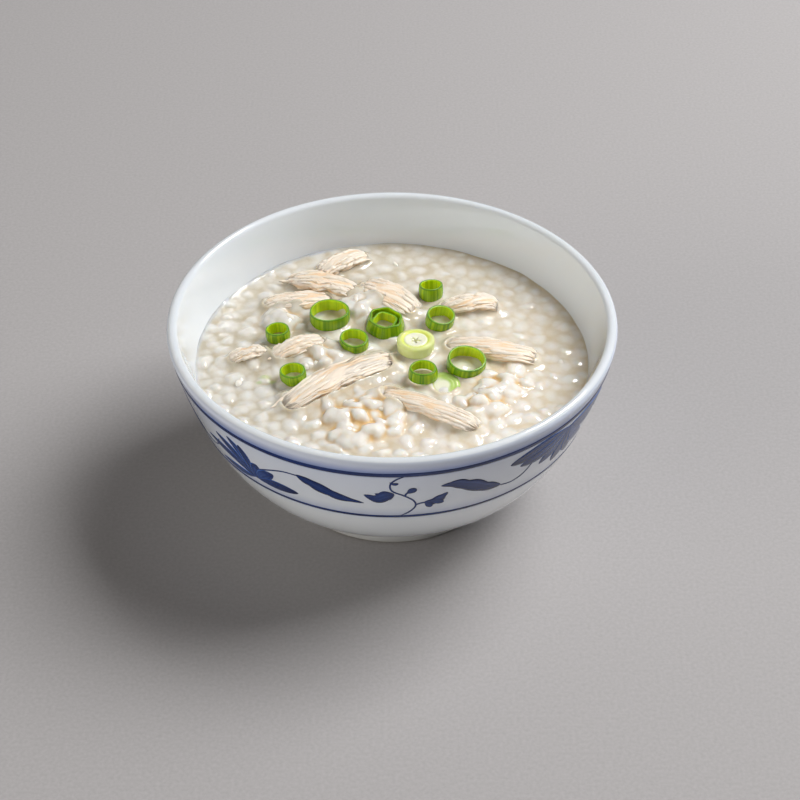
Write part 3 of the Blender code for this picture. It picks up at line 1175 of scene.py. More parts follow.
@dataclass
class Porridge:
    """The congee: broth, swollen grains at several depths, and the film that wets them.

    The surface is worked out on a square height map. film is the wet surface,
    solid the grains under it, and bent_x and bent_y are the map's places
    pushed about a little, so that no grain is a perfect oval. The shore is
    the strip along the wall, and each leaf bit a middle and a radius in mm.
    """

    curve: WallCurve = field(default_factory=WallCurve)
    finish: RicePorridge = field(default_factory=RicePorridge)
    level: float = 38.6 * MM
    into_wall: float = 0.35 * MM
    heap_rise: float = 0.9 * MM
    heap_radius: float = 34.0 * MM
    cell: float = 0.2 * MM
    grid: int = 300
    fillet: float = 0.8 * MM
    heap_fillet: float = 1.0 * MM
    fade: float = 1.6 * MM
    shore: float = 2.2 * MM
    tries: int = 6500
    leaf_bits: tuple[tuple[float, float, float], ...] = (
        (-32.6, -8.6, 1.5), (-30.6, -10.4, 1.0), (-34.0, -10.6, 0.8))
    random: np.random.Generator = field(default_factory=lambda: np.random.default_rng(SEED))

    def __post_init__(self) -> None:
        """Set up the square map that heights are worked out on."""
        t = np.linspace(0.2, 1.0, 800)
        inner = self.curve.inner(t, self.into_wall)
        self.wall_t = float(np.interp(self.level, inner[:, 1], t))
        self.radius = float(np.interp(self.level, inner[:, 1], inner[:, 0]))
        self.half = self.radius + 1.0 * MM
        self.size = int(2 * self.half / self.cell) + 1
        axis = np.linspace(-self.half, self.half, self.size)
        self.x, self.y = np.meshgrid(axis, axis, indexing="ij")
        self.base = self.base_height(self.x, self.y)
        self.film = self.base.copy()
        self.solid = np.full_like(self.base, self.level - 8.0 * MM)
        self.bent_x = self.x + 0.24 * MM * self.blotches(3.0 * MM)
        self.bent_y = self.y + 0.24 * MM * self.blotches(3.0 * MM)

    def blotches(self, size: float) -> np.ndarray:
        """Make smooth random values over the map.

        Args:
            size: The blotches' size in metres.

        Returns:
            A map of values about zero, with a spread of one.
        """
        made = self.blurred(self.random.standard_normal((self.size, self.size)), 1.6 * size)
        return made / made.std()

    def blurred(self, grid: np.ndarray, size: float) -> np.ndarray:
        """Blur a map evenly in all directions.

        Args:
            grid: The map.
            size: How far the blur reaches, in metres.

        Returns:
            The blurred map.
        """
        waves = np.fft.fftfreq(self.size, self.cell)
        strength = np.exp(-((waves[:, None] ** 2 + waves[None, :] ** 2) * size ** 2))
        return np.fft.ifft2(np.fft.fft2(grid) * strength).real

    def hollowness(self, size: float) -> np.ndarray:
        """Return how far the film lies under its own average over a given size, in metres."""
        return self.blurred(self.film, 2.0 * size) - self.film

    def base_height(self, x: np.ndarray, y: np.ndarray) -> np.ndarray:
        """Find the broth's height, with its heap and mounds.

        Args:
            x: Places on the plan.
            y: Places on the plan.

        Returns:
            The height at each place.
        """
        away = np.hypot(x, y)
        height = self.level + self.heap_rise * np.maximum(0.0, 1.0 - (away / self.heap_radius) ** 2)
        for mound in MOUNDS:
            far = np.hypot(x - mound.x * MM, y - mound.y * MM) / (mound.radius * MM)
            height = height + mound.rise * MM * np.exp(-far * far)
        return height

    def painted_lift_share(self, x: np.ndarray, y: np.ndarray) -> np.ndarray:
        """Return how much the broth and grains are painted lighter, as painted light: the most at the right,
        where the wall shades them, the least at the left back.
        """
        return np.clip(0.50 + (0.75 * x - 0.30 * y) / (48.0 * MM), 0.0, 1.0)

    def crowding(self, x: float, y: float) -> float:
        """Return how crowded the grains are: the most at the left front, the least at the right back."""
        return min(1.0, max(0.0, 0.55 - (0.50 * x + 0.75 * y) / (48.0 * MM)))

    def window(self, x: float, y: float, reach: float) -> tuple[slice, slice]:
        """Find the part of the map round a point.

        Args:
            x: The point.
            y: The point.
            reach: How far round it, in metres.

        Returns:
            The map's rows and columns within reach.
        """
        low = [max(0, int((value - reach + self.half) / self.cell)) for value in (x, y)]
        high = [min(self.size, int((value + reach + self.half) / self.cell) + 2) for value in (x, y)]
        return slice(low[0], high[0]), slice(low[1], high[1])

    def press_grain(self, x: float, y: float, long: float, wide: float, turn: float, top: float,
                    tall: float, fillet: float) -> None:
        """Lay one swollen grain into the maps.

        Args:
            x: Its middle, in metres.
            y: Its middle, in metres.
            long: Half its length.
            wide: Half its width.
            turn: Its direction in radians.
            top: The height of its top.
            tall: Half its thickness.
            fillet: How wide the film's curve is at its foot.
        """
        part = self.window(x, y, 1.5 * long)
        dx, dy = self.bent_x[part] - x, self.bent_y[part] - y
        along = (dx * math.cos(turn) + dy * math.sin(turn)) / long
        aside = (dy * math.cos(turn) - dx * math.sin(turn)) / wide
        lumpy = 1.0 + 0.10 * np.sin(2.3 * along + turn * 5) + 0.08 * np.sin(3.1 * aside + turn * 9)
        far = np.sqrt(along ** 2 + aside ** 2) * lumpy
        dome = np.where(far < 1.0, np.sqrt(np.maximum(0.0, 1.0 - far ** 2)), -2.0 * (far - 1.0))
        height = top - tall + tall * dome
        self.solid[part] = np.maximum(self.solid[part], height - 0.55 * MM * far ** 2)
        self.film[part] = smooth_max(self.film[part], height, fillet)

    def scatter(self, layer: GrainLayer) -> None:
        """Scatter one layer of grains.

        Args:
            layer: The layer's sizes and heights.
        """
        kept = np.empty((0, 2))
        for _ in range(self.tries):
            reach = (self.radius - 1.0 * MM) * math.sqrt(self.random.random())
            turn = self.random.random() * math.tau
            x, y = reach * math.cos(turn), reach * math.sin(turn)
            size, lift, spin, shape = self.random.random(4)
            if len(kept) and np.min(np.hypot(kept[:, 0] - x, kept[:, 1] - y)) < layer.spacing * MM:
                continue
            kept = np.vstack([kept, (x, y)])
            long = (layer.sizes[0] + (layer.sizes[1] - layer.sizes[0]) * size) * MM
            wide = long * (0.70 + 0.26 * shape)
            here = float(self.base_height(np.array(x), np.array(y)))
            rise = layer.tops[0] + (layer.tops[1] - layer.tops[0]) * lift
            top = here + (rise - layer.sink * (1.0 - self.crowding(x, y))) * MM
            self.press_grain(x, y, long, wide, spin * math.pi, top, 0.8 * wide, self.fillet)

    def pile_up(self, toppings: list["Topping"]) -> None:
        """Heap burst grains on the mounds, the tallest in the middle.

        Args:
            toppings: What the grains stay clear of.
        """
        for mound in MOUNDS:
            for _ in range(int(7 + mound.radius ** 2 * 0.40)):
                away = math.sqrt(self.random.random())
                turn = self.random.random() * math.tau
                x = (mound.x + 1.1 * mound.radius * away * math.cos(turn)) * MM
                y = (mound.y + 1.1 * mound.radius * away * math.sin(turn)) * MM
                size, spin, lift = self.random.random(3)
                long = (1.6 + 1.5 * size) * MM
                if nearest(toppings, x, y) < 0.3 * MM:
                    continue
                here = float(self.base_height(np.array(x), np.array(y)))
                top = here + (0.3 + 1.0 * lift + 1.2 * (1.0 - away)) * MM
                wide = long * (0.72 + 0.2 * lift)
                self.press_grain(x, y, long, wide, spin * math.pi, top, 0.62 * long, self.heap_fillet)

    def rise_round(self, piece: "Topping") -> None:
        """Let the film climb a little where it meets a topping.

        Args:
            piece: The topping.
        """
        part = self.window(piece.middle[0], piece.middle[1], piece.reach + 4.0 * MM)
        away = piece.distance(self.x[part], self.y[part])
        height, width = piece.climb
        climb = height * np.exp(-np.maximum(away, 0.0) / width)
        self.film[part] = self.film[part] + climb * (away > -0.8 * MM)

    def sample(self, grid: np.ndarray, x: np.ndarray, y: np.ndarray) -> np.ndarray:
        """Read a map at points, with bilinear steps between its cells.

        Args:
            grid: The map.
            x: Places on the plan.
            y: Places on the plan.

        Returns:
            The map's value at each place.
        """
        u = np.clip((x + self.half) / (2 * self.half) * (self.size - 1), 0, self.size - 1.001)
        v = np.clip((y + self.half) / (2 * self.half) * (self.size - 1), 0, self.size - 1.001)
        i, j = u.astype(int), v.astype(int)
        a, b = u - i, v - j
        return ((1 - a) * (1 - b) * grid[i, j] + a * (1 - b) * grid[i + 1, j]
                + (1 - a) * b * grid[i, j + 1] + a * b * grid[i + 1, j + 1])

    def disc(self) -> tuple[np.ndarray, np.ndarray]:
        """Bend a square grid evenly into the surface's round plan.

        Returns:
            The x and the y of each corner.
        """
        side = np.linspace(-1.0, 1.0, self.grid + 1)
        a, b = np.meshgrid(side, side, indexing="ij")
        wide = np.abs(a) >= np.abs(b)
        large = np.where(wide, a, b)
        small = np.where(wide, b, a)
        safe = np.where(large == 0.0, 1.0, large)
        turn = math.pi / 4 * small / safe
        near, far = large * np.cos(turn), large * np.sin(turn)
        x = np.where(wide, near, far) * self.radius
        y = np.where(wide, far, near) * self.radius
        return x, y

    def build(self, toppings: list["Topping"]) -> bpy.types.Object:
        """Build the porridge.

        Args:
            toppings: What lies on it, which the film climbs.

        Returns:
            The porridge's object.
        """
        for layer in GRAIN_LAYERS:
            self.scatter(layer)
        self.pile_up(toppings)
        # A valley between grains counts as full where it is about half a millimetre deep.
        valley = np.clip(0.15 + self.hollowness(2.2 * MM) / (0.55 * MM), 0.0, 1.0)
        # Surface tension rounds off the creases between grains.
        self.film += 0.6 * self.hollowness(0.55 * MM)
        self.film += 0.04 * MM * self.blotches(1.8 * MM)
        for topping in toppings:
            self.rise_round(topping)
        x, y = self.disc()
        return self.closed(x, y, *self.surface(x, y, valley))

    def surface(self, x: np.ndarray, y: np.ndarray,
                valley: np.ndarray) -> tuple[np.ndarray, dict[str, np.ndarray]]:
        """Work out the surface's heights and what its finish reads.

        Args:
            x: The surface's plan.
            y: The surface's plan.
            valley: A map of how deep each place lies between the grains.

        Returns:
            The heights, and how covered, how painted lighter, how warm and how leaf green each corner is; the
            cover also carries the painted highlight on the left shore.
        """
        to_wall = np.maximum(self.radius - np.hypot(x, y), 0.0)
        turn = np.arctan2(y, x)
        wavy = 0.30 * np.sin(9 * turn + 1.0) + 0.22 * np.sin(17 * turn) + 0.15 * np.sin(31 * turn + 2.0)
        # The grains' relief dies out along the shore, and there the film climbs the wall unevenly.
        ease = np.clip(to_wall / self.shore, 0.0, 1.0)
        ease = ease * ease * (3.0 - 2.0 * ease)
        film = self.sample(self.film, x, y) * ease + (1.0 - ease) * self.level
        # The meniscus climbs higher at the left shore, and is painted white there as a painted highlight for
        # the light that it reflects.
        meniscus_highlight = np.clip(0.15 - 1.3 * np.cos(turn + 0.35), 0.0, 1.0)
        film = film + (0.45 + 0.45 * meniscus_highlight + 0.35 * wavy) * MM * np.exp(-to_wall / (0.6 * MM))
        # Broth hides a grain more the thicker it lies over it, but a painted highlight whitens the left shore
        # along the meniscus.
        cover = 1.0 - np.exp(-np.maximum(film - self.sample(self.solid, x, y), 0.0) / self.fade)
        rim = np.exp(-(to_wall / (0.8 * MM)) ** 2)
        cover = cover * (1.0 - rim * meniscus_highlight) + 0.5 * rim * (1.0 - meniscus_highlight)
        low = self.sample(valley, x, y)
        cover = np.maximum(cover, 0.70 * low)
        # The mounds are honey coloured, but only in the valleys between their grains.
        warm = np.zeros_like(x)
        for mound in MOUNDS:
            away = np.hypot(x - mound.x * MM, y - mound.y * MM) / (mound.radius * MM)
            warm = warm + 4.8 * mound.warm * np.exp(-0.7 * away * away)
        warm = np.clip(warm * (low - 0.12), 0.0, 0.8)
        # Sunk bits of leaf shine through green.
        leaf = np.zeros_like(x)
        for middle_x, middle_y, radius in self.leaf_bits:
            away = np.hypot(x - middle_x * MM, (y - middle_y * MM) * 1.4) / (radius * MM)
            leaf = np.maximum(leaf, 0.6 * np.exp(-away ** 4))
        return film, {"cover": cover, "milk": self.painted_lift_share(x, y), "warm": warm, "leaf": leaf}

    def closed(self, x: np.ndarray, y: np.ndarray, z: np.ndarray,
               values: dict[str, np.ndarray]) -> bpy.types.Object:
        """Close the surface with a side and a bottom that reach just into the wall.

        Args:
            x: The surface's plan.
            y: The surface's plan.
            z: Its heights.
            values: Named numbers for its corners.

        Returns:
            The closed object.
        """
        n = self.grid + 1
        number = np.arange(n * n).reshape(n, n)
        quads = np.stack([number[:-1, :-1], number[1:, :-1], number[1:, 1:], number[:-1, 1:]], axis=-1)
        edge = np.concatenate([number[:-1, 0], number[-1, :-1], number[:0:-1, -1], number[0, :0:-1]])
        top = np.stack([x.ravel(), y.ravel(), z.ravel()], axis=-1)
        heading = np.arctan2(top[edge, 1], top[edge, 0])
        section = self.curve.inner(np.linspace(self.wall_t - 0.06, self.curve.start, 5), self.into_wall)
        rings = [np.stack([r * np.cos(heading), r * np.sin(heading), np.full(len(edge), h)], axis=-1)
                 for r, h in section]
        points = np.vstack([top] + rings + [np.array([(0.0, 0.0, section[-1, 1])])])
        faces = quads.reshape(-1, 4).tolist()
        loops = [edge] + [n * n + len(edge) * k + np.arange(len(edge)) for k in range(len(rings))]
        for upper, lower in zip(loops, loops[1:]):
            beside, below = np.roll(upper, -1), np.roll(lower, -1)
            faces += np.stack([upper, lower, below, beside], axis=-1).tolist()
        hub = len(points) - 1
        faces += [(hub, int(b), int(a)) for a, b in zip(loops[-1], np.roll(loops[-1], -1))]
        extra = len(points) - n * n
        spread = {key: np.append(v.ravel(), np.full(extra, 0.5)) for key, v in values.items()}
        return mesh_piece("rice_porridge", points, faces, self.finish.make(), spread)


@dataclass
class LooseRice:
    """Whole grains that stand out of the porridge, most of them on the mounds."""

    porridge: Porridge
    toppings: list["Topping"]
    finish: CookedRice = field(default_factory=CookedRice)
    rings: int = 9
    steps: int = 14
    scattered: int = 14
    spread: float = 44.0 * MM
    clearance: float = 1.4 * MM
    sunk: float = 0.70

    def spots(self) -> list[tuple[float, float, float]]:
        """Choose where the grains lie.

        Returns:
            The x, y and warmth of each grain.
        """
        random = self.porridge.random
        found = []
        for mound in MOUNDS:
            for _ in range(int(mound.radius * 0.3)):
                away = mound.radius * 0.95 * math.sqrt(random.random())
                turn = random.random() * math.tau
                x, y = mound.x + away * math.cos(turn), mound.y + away * math.sin(turn)
                found.append((x * MM, y * MM, mound.warm * random.random()))
        for _ in range(self.scattered):
            away = self.spread * math.sqrt(random.random())
            turn = random.random() * math.tau
            found.append((away * math.cos(turn), away * math.sin(turn), 0.1 * random.random()))
        return [spot for spot in found if nearest(self.toppings, spot[0], spot[1]) > self.clearance]

    def build(self) -> bpy.types.Object:
        """Build all the loose grains as one piece.

        Returns:
            The grains' object.
        """
        random = self.porridge.random
        grains = Shells()
        faces = loft_faces(self.rings, self.steps, mirrored=True)
        for x, y, warm in self.spots():
            half = (1.5 + 0.7 * random.random()) * MM
            wide = half * (0.46 + 0.20 * random.random())
            turn = random.random() * math.pi
            lean = (random.random() - 0.5) * 0.9
            height = float(self.porridge.sample(self.porridge.film, np.array([x]), np.array([y]))[0])
            grid = self.grain_points(half, wide, random.random() * 50.0)
            spin = Euler((lean, lean * 0.6, turn)).to_matrix()
            placed = grid @ np.array(spin).T + (x, y, height - self.sunk * wide)
            grains.add(placed, faces, np.full(len(placed), warm))
        return grains.piece("rice_grains", self.finish.make(), "warm")

    def grain_points(self, half: float, wide: float, seed: float) -> np.ndarray:
        """Shape one lumpy grain round the origin, with its length along X.

        Args:
            half: Half its length.
            wide: Half its width.
            seed: What its lumps depend on.

        Returns:
            Its points, ring by ring and then its two ends.
        """
        rows = []
        for angle in np.linspace(0.0, math.pi, self.rings + 2)[1:-1]:
            out = math.sin(angle)
            for step in range(self.steps):
                turn = math.tau * step / self.steps
                rows.append((math.cos(angle), out * math.cos(turn), out * math.sin(turn)))
        rows += [(1.0, 0.0, 0.0), (-1.0, 0.0, 0.0)]
        shape = []
        for row in rows:
            lump = 1.0 + 0.22 * noise.noise(Vector(row) * 1.7 + Vector((seed, 0.0, 0.0)))
            shape.append((row[0] * half * lump, row[1] * wide * lump, row[2] * wide * 0.85 * lump))
        return np.array(shape)


# ---------------------------------------------------------------- the toppings

@dataclass
class Topping:
    """Anything that lies on the congee, measured from its CAD node.

    The porridge's film climbs it by the height in climb, and the climb fades
    over the distance there.
    """

    node: str
    climb: tuple[float, float] = (0.6 * MM, 0.6 * MM)

    def __post_init__(self) -> None:
        """Read the node's own size and place."""
        low, high = (np.array(corner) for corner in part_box(self.node))
        self.low, self.high = low, high
        self.middle = 0.5 * (low + high)
        self.reach = 0.5 * float(max(high[0] - low[0], high[1] - low[1]))
        cloud = np.array([tuple(v.co) for v in frame["nodes"][self.node].data.vertices])
        flat = cloud[:, :2] - cloud[:, :2].mean(axis=0)
        axes = np.linalg.eigh(flat.T @ flat)[1]
        self.long_axis = axes[:, 1] if axes[0, 1] >= 0 else -axes[:, 1]
        self.half_long = float(np.abs(flat @ axes[:, 1]).max())
        self.half_wide = float(np.abs(flat @ axes[:, 0]).max())

    def distance(self, x: np.ndarray, y: np.ndarray) -> np.ndarray:
        """Measure roughly how far plan points lie from the topping's outline.

        Args:
            x: Places on the plan.
            y: Places on the plan.

        Returns:
            The distances in metres, which are below zero inside the outline.
        """
        dx, dy = x - self.middle[0], y - self.middle[1]
        along = np.abs(dx * self.long_axis[0] + dy * self.long_axis[1])
        aside = np.abs(dy * self.long_axis[0] - dx * self.long_axis[1])
        past = np.maximum(along - (self.half_long - self.half_wide), 0.0)
        return np.hypot(past, aside) - self.half_wide


def nearest(toppings: list[Topping], x: float, y: float) -> float:
    """Return the distance from a place on the plan to the nearest topping."""
    return min(float(topping.distance(np.array(x), np.array(y))) for topping in toppings)


@dataclass
class ChickenShred(Topping):
    """A torn shred: a flattened body of fibres with uneven ends, and strands that peel off it.

    The ends are the half widths there, as shares of the widest. The fibres
    turn round the shred by skew radians over its length. Fullness is how much
    wider the fibres spread than the solid shred, and loft how much lower the
    body is kept than it, so that the fibres stay inside it.
    """

    climb: tuple[float, float] = (1.3 * MM, 1.2 * MM)
    finish: bpy.types.Material | None = None
    seed: int = 0
    ends: tuple[float, float] = (0.72, 0.88)
    skew: float = 1.5
    fullness: float = 1.1
    arch: float = 1.9 * MM
    sunk: float = 1.5 * MM
    swell: float = 0.19 * MM
    skin: float = 0.35 * MM
    loft: float = 0.25 * MM
    ragged: float = 0.075
    nibbled: float = 0.26
    around: int = 112
    along: int = 84
    strands: int = 16
    wisps: int = 12

    def aside(self) -> np.ndarray:
        """Return the level unit vector across the shred."""
        return np.array([-self.long_axis[1], self.long_axis[0], 0.0])

    def spine(self, share: np.ndarray) -> np.ndarray:
        """Find the shred's middle line, which bends a little and arches over the porridge.

        Args:
            share: Places along the shred, from zero to one.

        Returns:
            Rows of x, y, z.
        """
        bend = 0.05 * self.half_long * math.sin(self.seed * 2.3)
        run = (share * 2.0 - 1.0) * self.half_long
        aside = bend * np.sin(np.pi * share)
        x = self.middle[0] + self.long_axis[0] * run - self.long_axis[1] * aside
        y = self.middle[1] + self.long_axis[1] * run + self.long_axis[0] * aside
        arch = self.arch * np.sin(np.pi * np.clip(share, 0.0, 1.0)) ** 0.6 - self.sunk
        return np.stack([x, y, self.middle[2] + arch], axis=-1)

    def outline(self, share: np.ndarray) -> np.ndarray:
        """Shape the shred's half width.

        Args:
            share: Places along the shred, from zero to one.

        Returns:
            The half width at each place, where one is the widest.
        """
        first, last = self.ends
        widths = (0.75 * first, first, 1.0, 0.97, last, 0.85 * last)
        return np.interp(share, (0.0, 0.10, 0.40, 0.70, 0.93, 1.0), widths)

    def fibre(self, share: float, turn: float) -> float:
        """Find how far a fibre stands out: broad bundles, thin ones on them, and single hairs.

        Args:
            share: The place along the shred, from zero to one.
            turn: The angle round it in radians.

        Returns:
            The height, from about zero in a groove to one on a bundle.
        """
        run = share * self.half_long / (4.5 * MM)
        drift = 0.30 * noise.noise(Vector((run * 0.8, turn, self.seed * 2.0)))
        around = turn + self.skew * (share - 0.5) + drift
        x, y = math.cos(around), math.sin(around)
        broad = abs(noise.noise(Vector((x * 2.9, y * 2.9, run * 0.75 + self.seed * 9.0))))
        thin = abs(noise.noise(Vector((x * 6.5, y * 6.5, run * 1.1 + self.seed * 5.0))))
        hair = noise.noise(Vector((x * 17.0, y * 17.0, run * 1.3 + self.seed)))
        rise = 0.95 * min(broad * 2.4, 1.0) ** 0.7 + 0.40 * min(thin * 2.4, 1.0) ** 0.7
        return rise + 0.14 * hair - 0.25

    def body(self, half_wide: float, half_tall: float) -> Shell:
        """Loft the shred's body, with grooves along the fibres and torn ends.

        Args:
            half_wide: Half the shred's width.
            half_tall: Half its thickness.

        Returns:
            The body's points, faces and tones.
        """
        turns = math.tau * np.arange(self.around) / self.around
        torn_ends = [noise_round(turns, 5.0, self.seed + side * 40.0) + 0.9 * noise_round(turns, 14.0, side)
                     for side in (0.0, 1.0)]
        first = 0.03 + self.ragged * torn_ends[0]
        last = 0.97 + self.ragged * torn_ends[1]
        rows, tones = [], []
        for step in np.linspace(0.0, 1.0, self.along):
            share = first + (last - first) * step
            height = np.array([self.fibre(s, t) for s, t in zip(share, turns)])
            to_end = min(step, 1.0 - step)
            close = np.clip(16.0 * to_end, 0.10, 1.0) ** 0.5
            torn = [noise.noise(Vector((step * 7.0, self.seed, side))) for side in (0.0, 9.0)]
            edge = 1.0 + self.nibbled * np.where(np.cos(turns) > 0.0, *torn)
            wide = half_wide * self.outline(share) * close * edge
            tall = half_tall * (0.45 + 0.55 * self.outline(share)) * close
            flat = np.sign(np.sin(turns)) * np.abs(np.sin(turns)) ** 0.75
            inner = min(1.0, 10.0 * to_end)
            swell = self.swell * (height - 0.5) * inner
            out = (wide - self.skin + swell) * np.cos(turns)
            point = self.spine(share) + self.aside() * out[:, None]
            point[:, 2] += (tall - self.skin) * flat + swell * np.sin(turns)
            rows.append(point)
            # Painted light and shade: the torn ends are painted pale against the shade in their folds, the
            # bundles are pale, and the creases and the underside are painted darker as shade.
            pale = 0.50 * (1.0 - inner) + 0.62 * np.clip(height, 0.0, 1.1)
            tones.append(0.24 + pale + 0.10 * np.sin(turns))
        tips = self.spine(np.array([first.min(), last.max()]))
        hubs = 0.5 * tips + 0.5 * np.array([rows[0].mean(axis=0), rows[-1].mean(axis=0)])
        points = np.vstack([np.concatenate(rows), hubs])
        return points, loft_faces(self.along, self.around), np.append(np.concatenate(tones), (0.6, 0.6))

    @staticmethod
    def tube(line: np.ndarray, wide: np.ndarray, tall: np.ndarray, tone: float, sides: int = 8) -> Shell:
        """Build one closed, flattened tube along a line.

        Args:
            line: The tube's middle points.
            wide: Half widths.
            tall: Half thicknesses.
            tone: How light it is.
            sides: How many corners each ring has.

        Returns:
            The tube's points, faces and tones.
        """
        along = np.gradient(line, axis=0)
        along /= np.linalg.norm(along, axis=1, keepdims=True)
        aside = np.cross(along, (0.0, 0.0, 1.0))
        aside /= np.linalg.norm(aside, axis=1, keepdims=True)
        upward = np.cross(aside, along)
        turn = math.tau * np.arange(sides) / sides
        ring = (line[:, None] + aside[:, None] * (wide[:, None] * np.cos(turn))[..., None]
                + upward[:, None] * (tall[:, None] * np.sin(turn))[..., None])
        points = np.vstack([ring.reshape(-1, 3), line[:1], line[-1:]])
        # The strand's top is painted lighter and its underside darker, as painted shade.
        tones = np.append(np.tile(tone + 0.12 * np.sin(turn), len(line)), (tone, tone))
        return points, loft_faces(len(line), sides, mirrored=True), tones

    def strand(self, random: np.random.Generator, half_wide: float, half_tall: float,
               thin: bool) -> Shell:
        """Lay one strand on the body, which comes loose at one end.

        Args:
            random: The shred's own random numbers.
            half_wide: Half the shred's width.
            half_tall: Half its thickness.
            thin: Whether it is a single wisp and not a whole strand.

        Returns:
            The strand's points, faces and tones.
        """
        to_end = random.random() < 0.55
        length = (0.22 + 0.25 * random.random()) * (0.7 if thin else 1.0)
        tip = (0.99 - 0.08 * random.random()) if to_end else (0.01 + 0.08 * random.random())
        if random.random() < 0.3:
            tip = 0.25 + 0.5 * random.random()
        run = np.linspace(0.0, 1.0, 20)
        share = tip - (1.0 - run) * length * (1.0 if to_end else -1.0)
        turn = math.radians(10.0 + 160.0 * random.random()) - 0.5 * self.skew * (share - share[0])
        body = self.outline(np.clip(share, 0.0, 1.0))
        line = self.spine(share)
        splay = 1.0 + (0.30 * random.random() - 0.05) * run ** 2
        line = line + self.aside() * (half_wide * body * 0.90 * np.cos(turn) * splay)[:, None]
        line[:, 2] += half_tall * (0.45 + 0.55 * body) * 0.74 * np.abs(np.sin(turn)) ** 0.75
        line[:, 2] += (0.25 * random.random() * run ** 2 - 0.5 * run ** 4) * MM
        width = (0.12 + 0.14 * random.random()) if thin else (0.32 + 0.30 * random.random())
        taper = np.clip(1.15 - run ** 3, 0.25, 1.0) * np.clip(0.2 + run * 5.0, 0.0, 1.0)
        size = width * MM * taper * (1.0 + 0.12 * np.sin(run * 17.0 + random.random() * 6.0))
        return self.tube(line, size * 1.2, size * 0.75, 0.62 + 0.22 * random.random())

    def build(self) -> bpy.types.Object:
        """Build the shred.

        Returns:
            The shred's object.
        """
        random = np.random.default_rng(SEED + self.seed)
        half_tall = 0.5 * float(self.high[2] - self.low[2]) - self.loft
        half_wide = self.fullness * self.half_wide
        meat = Shells()
        meat.add(*self.body(half_wide, half_tall))
        for thin in [False] * self.strands + [True] * self.wisps:
            meat.add(*self.strand(random, half_wide, half_tall, thin))
        return meat.piece(self.node.replace("chicken_shred", "torn_chicken"), self.finish, "tone")


@dataclass
class OnionSlice(Topping):
    """A slice of spring onion, which leans as its solid does, in degrees round X and Y."""

    finish: bpy.types.Material | None = None
    seed: int = 0
    lean_x: float = 0.0
    lean_y: float = 0.0

    def placed(self, points: np.ndarray) -> np.ndarray:
        """Return points round the origin, tilted and moved to the slice's place."""
        lean = Euler((math.radians(self.lean_x), math.radians(self.lean_y), 0.0)).to_matrix()
        return points @ np.array(lean).T + self.middle


@dataclass
class OnionRing(OnionSlice):
    """A slice of hollow leaf: a thin, slightly uneven tube with a clean cut edge.

    The flare is how much wider the lower cut is than the upper one, and the
    corners are how many soft bends its outline has. The outside bulges
    between the two cuts.
    """

    wall: float = 0.55 * MM
    bulge: float = 0.16 * MM
    flare: float = 0.0
    corners: int = 0
    diameter: float = 8.0 * MM
    height: float = 3.2 * MM
    rows: int = 11
    steps: int = 132

    def outline(self, turn: np.ndarray) -> np.ndarray:
        """Shape the ring's outline.

        Args:
            turn: Angles in radians.

        Returns:
            The radius at each angle, as a share of the mean one.
        """
        shape = 1.0 + 0.035 * np.sin(2 * turn + self.seed) + 0.015 * np.sin(3 * turn + 2 * self.seed)
        if self.corners:
            shape = shape + 0.27 / self.corners * np.cos(self.corners * turn + self.seed)
        return shape

    def section(self) -> tuple[np.ndarray, np.ndarray, dict[str, np.ndarray]]:
        """Draw the wall's section: up the outside, over the cut, down the inside and back.

        Returns:
            Depths in from the outside, heights, and where the inside, cut and skin are.
        """
        half, wall, rows = 0.5 * self.height, self.wall, self.rows
        up = np.linspace(-half + 0.15 * MM, half - 0.15 * MM, rows)
        bulge = -self.bulge * np.cos(np.linspace(-0.5, 0.5, rows) * math.pi)
        outer_edge = np.array([0.02, 0.10, 0.22]) * MM
        edge_depth = np.concatenate([outer_edge, wall - np.array([0.20, 0.06, 0.01]) * MM])
        edge_rise = np.array([0.07, 0.02, 0.0, 0.0, 0.02, 0.07]) * MM
        depth = np.concatenate([bulge, edge_depth, wall + 0.3 * bulge[::-1], edge_depth[::-1]])
        height = np.concatenate([up, half - edge_rise, up[::-1], -half + edge_rise[::-1]])
        inside = np.concatenate([np.zeros(rows + 4), np.ones(rows + 2), np.ones(2), np.zeros(4)])
        cut, skin = np.zeros(len(depth)), np.zeros(len(depth))
        cut[rows + 1:rows + 5] = 1.0
        cut[2 * rows + 7:2 * rows + 11] = 0.7
        skin[rows - 1:rows + 2] = (0.35, 0.9, 0.5)
        return depth, height, {"inside": inside, "cut": cut, "skin": skin}

    def build(self) -> bpy.types.Object:
        """Build the ring.

        Returns:
            The ring's object.
        """
        depth, height, marks = self.section()
        turn = math.tau * np.arange(self.steps) / self.steps
        veins = noise_round(turn, 6.5, self.seed * 3.0) + 0.7 * noise_round(turn, 17.0, self.seed)
        veins = np.clip(0.5 + 0.75 * veins, 0.0, 1.0)
        radius = (0.5 * self.diameter - self.bulge) * self.outline(turn)[None, :]
        flare = 1.0 - self.flare * (height[:, None] / self.height)
        out = radius * flare - depth[:, None] * (1.0 + 0.12 * np.sin(turn + self.seed))[None, :]
        out = out + 0.03 * MM * (veins[None, :] - 0.5)
        points = np.stack([out * np.cos(turn), out * np.sin(turn), all_round(height, self.steps)], axis=-1)
        placed = self.placed(points.reshape(-1, 3))
        rows = len(depth)
        values = {key: np.repeat(mark, self.steps) for key, mark in marks.items()}
        fade = 0.12 * np.repeat(height / self.height, self.steps)
        values["vein"] = np.clip(np.tile(veins, rows) + fade, 0.0, 1.0)
        name = self.node.replace("spring_onion", "onion_ring")
        return mesh_piece(name, placed, ring_faces(rows, self.steps, closed=True), self.finish, values)


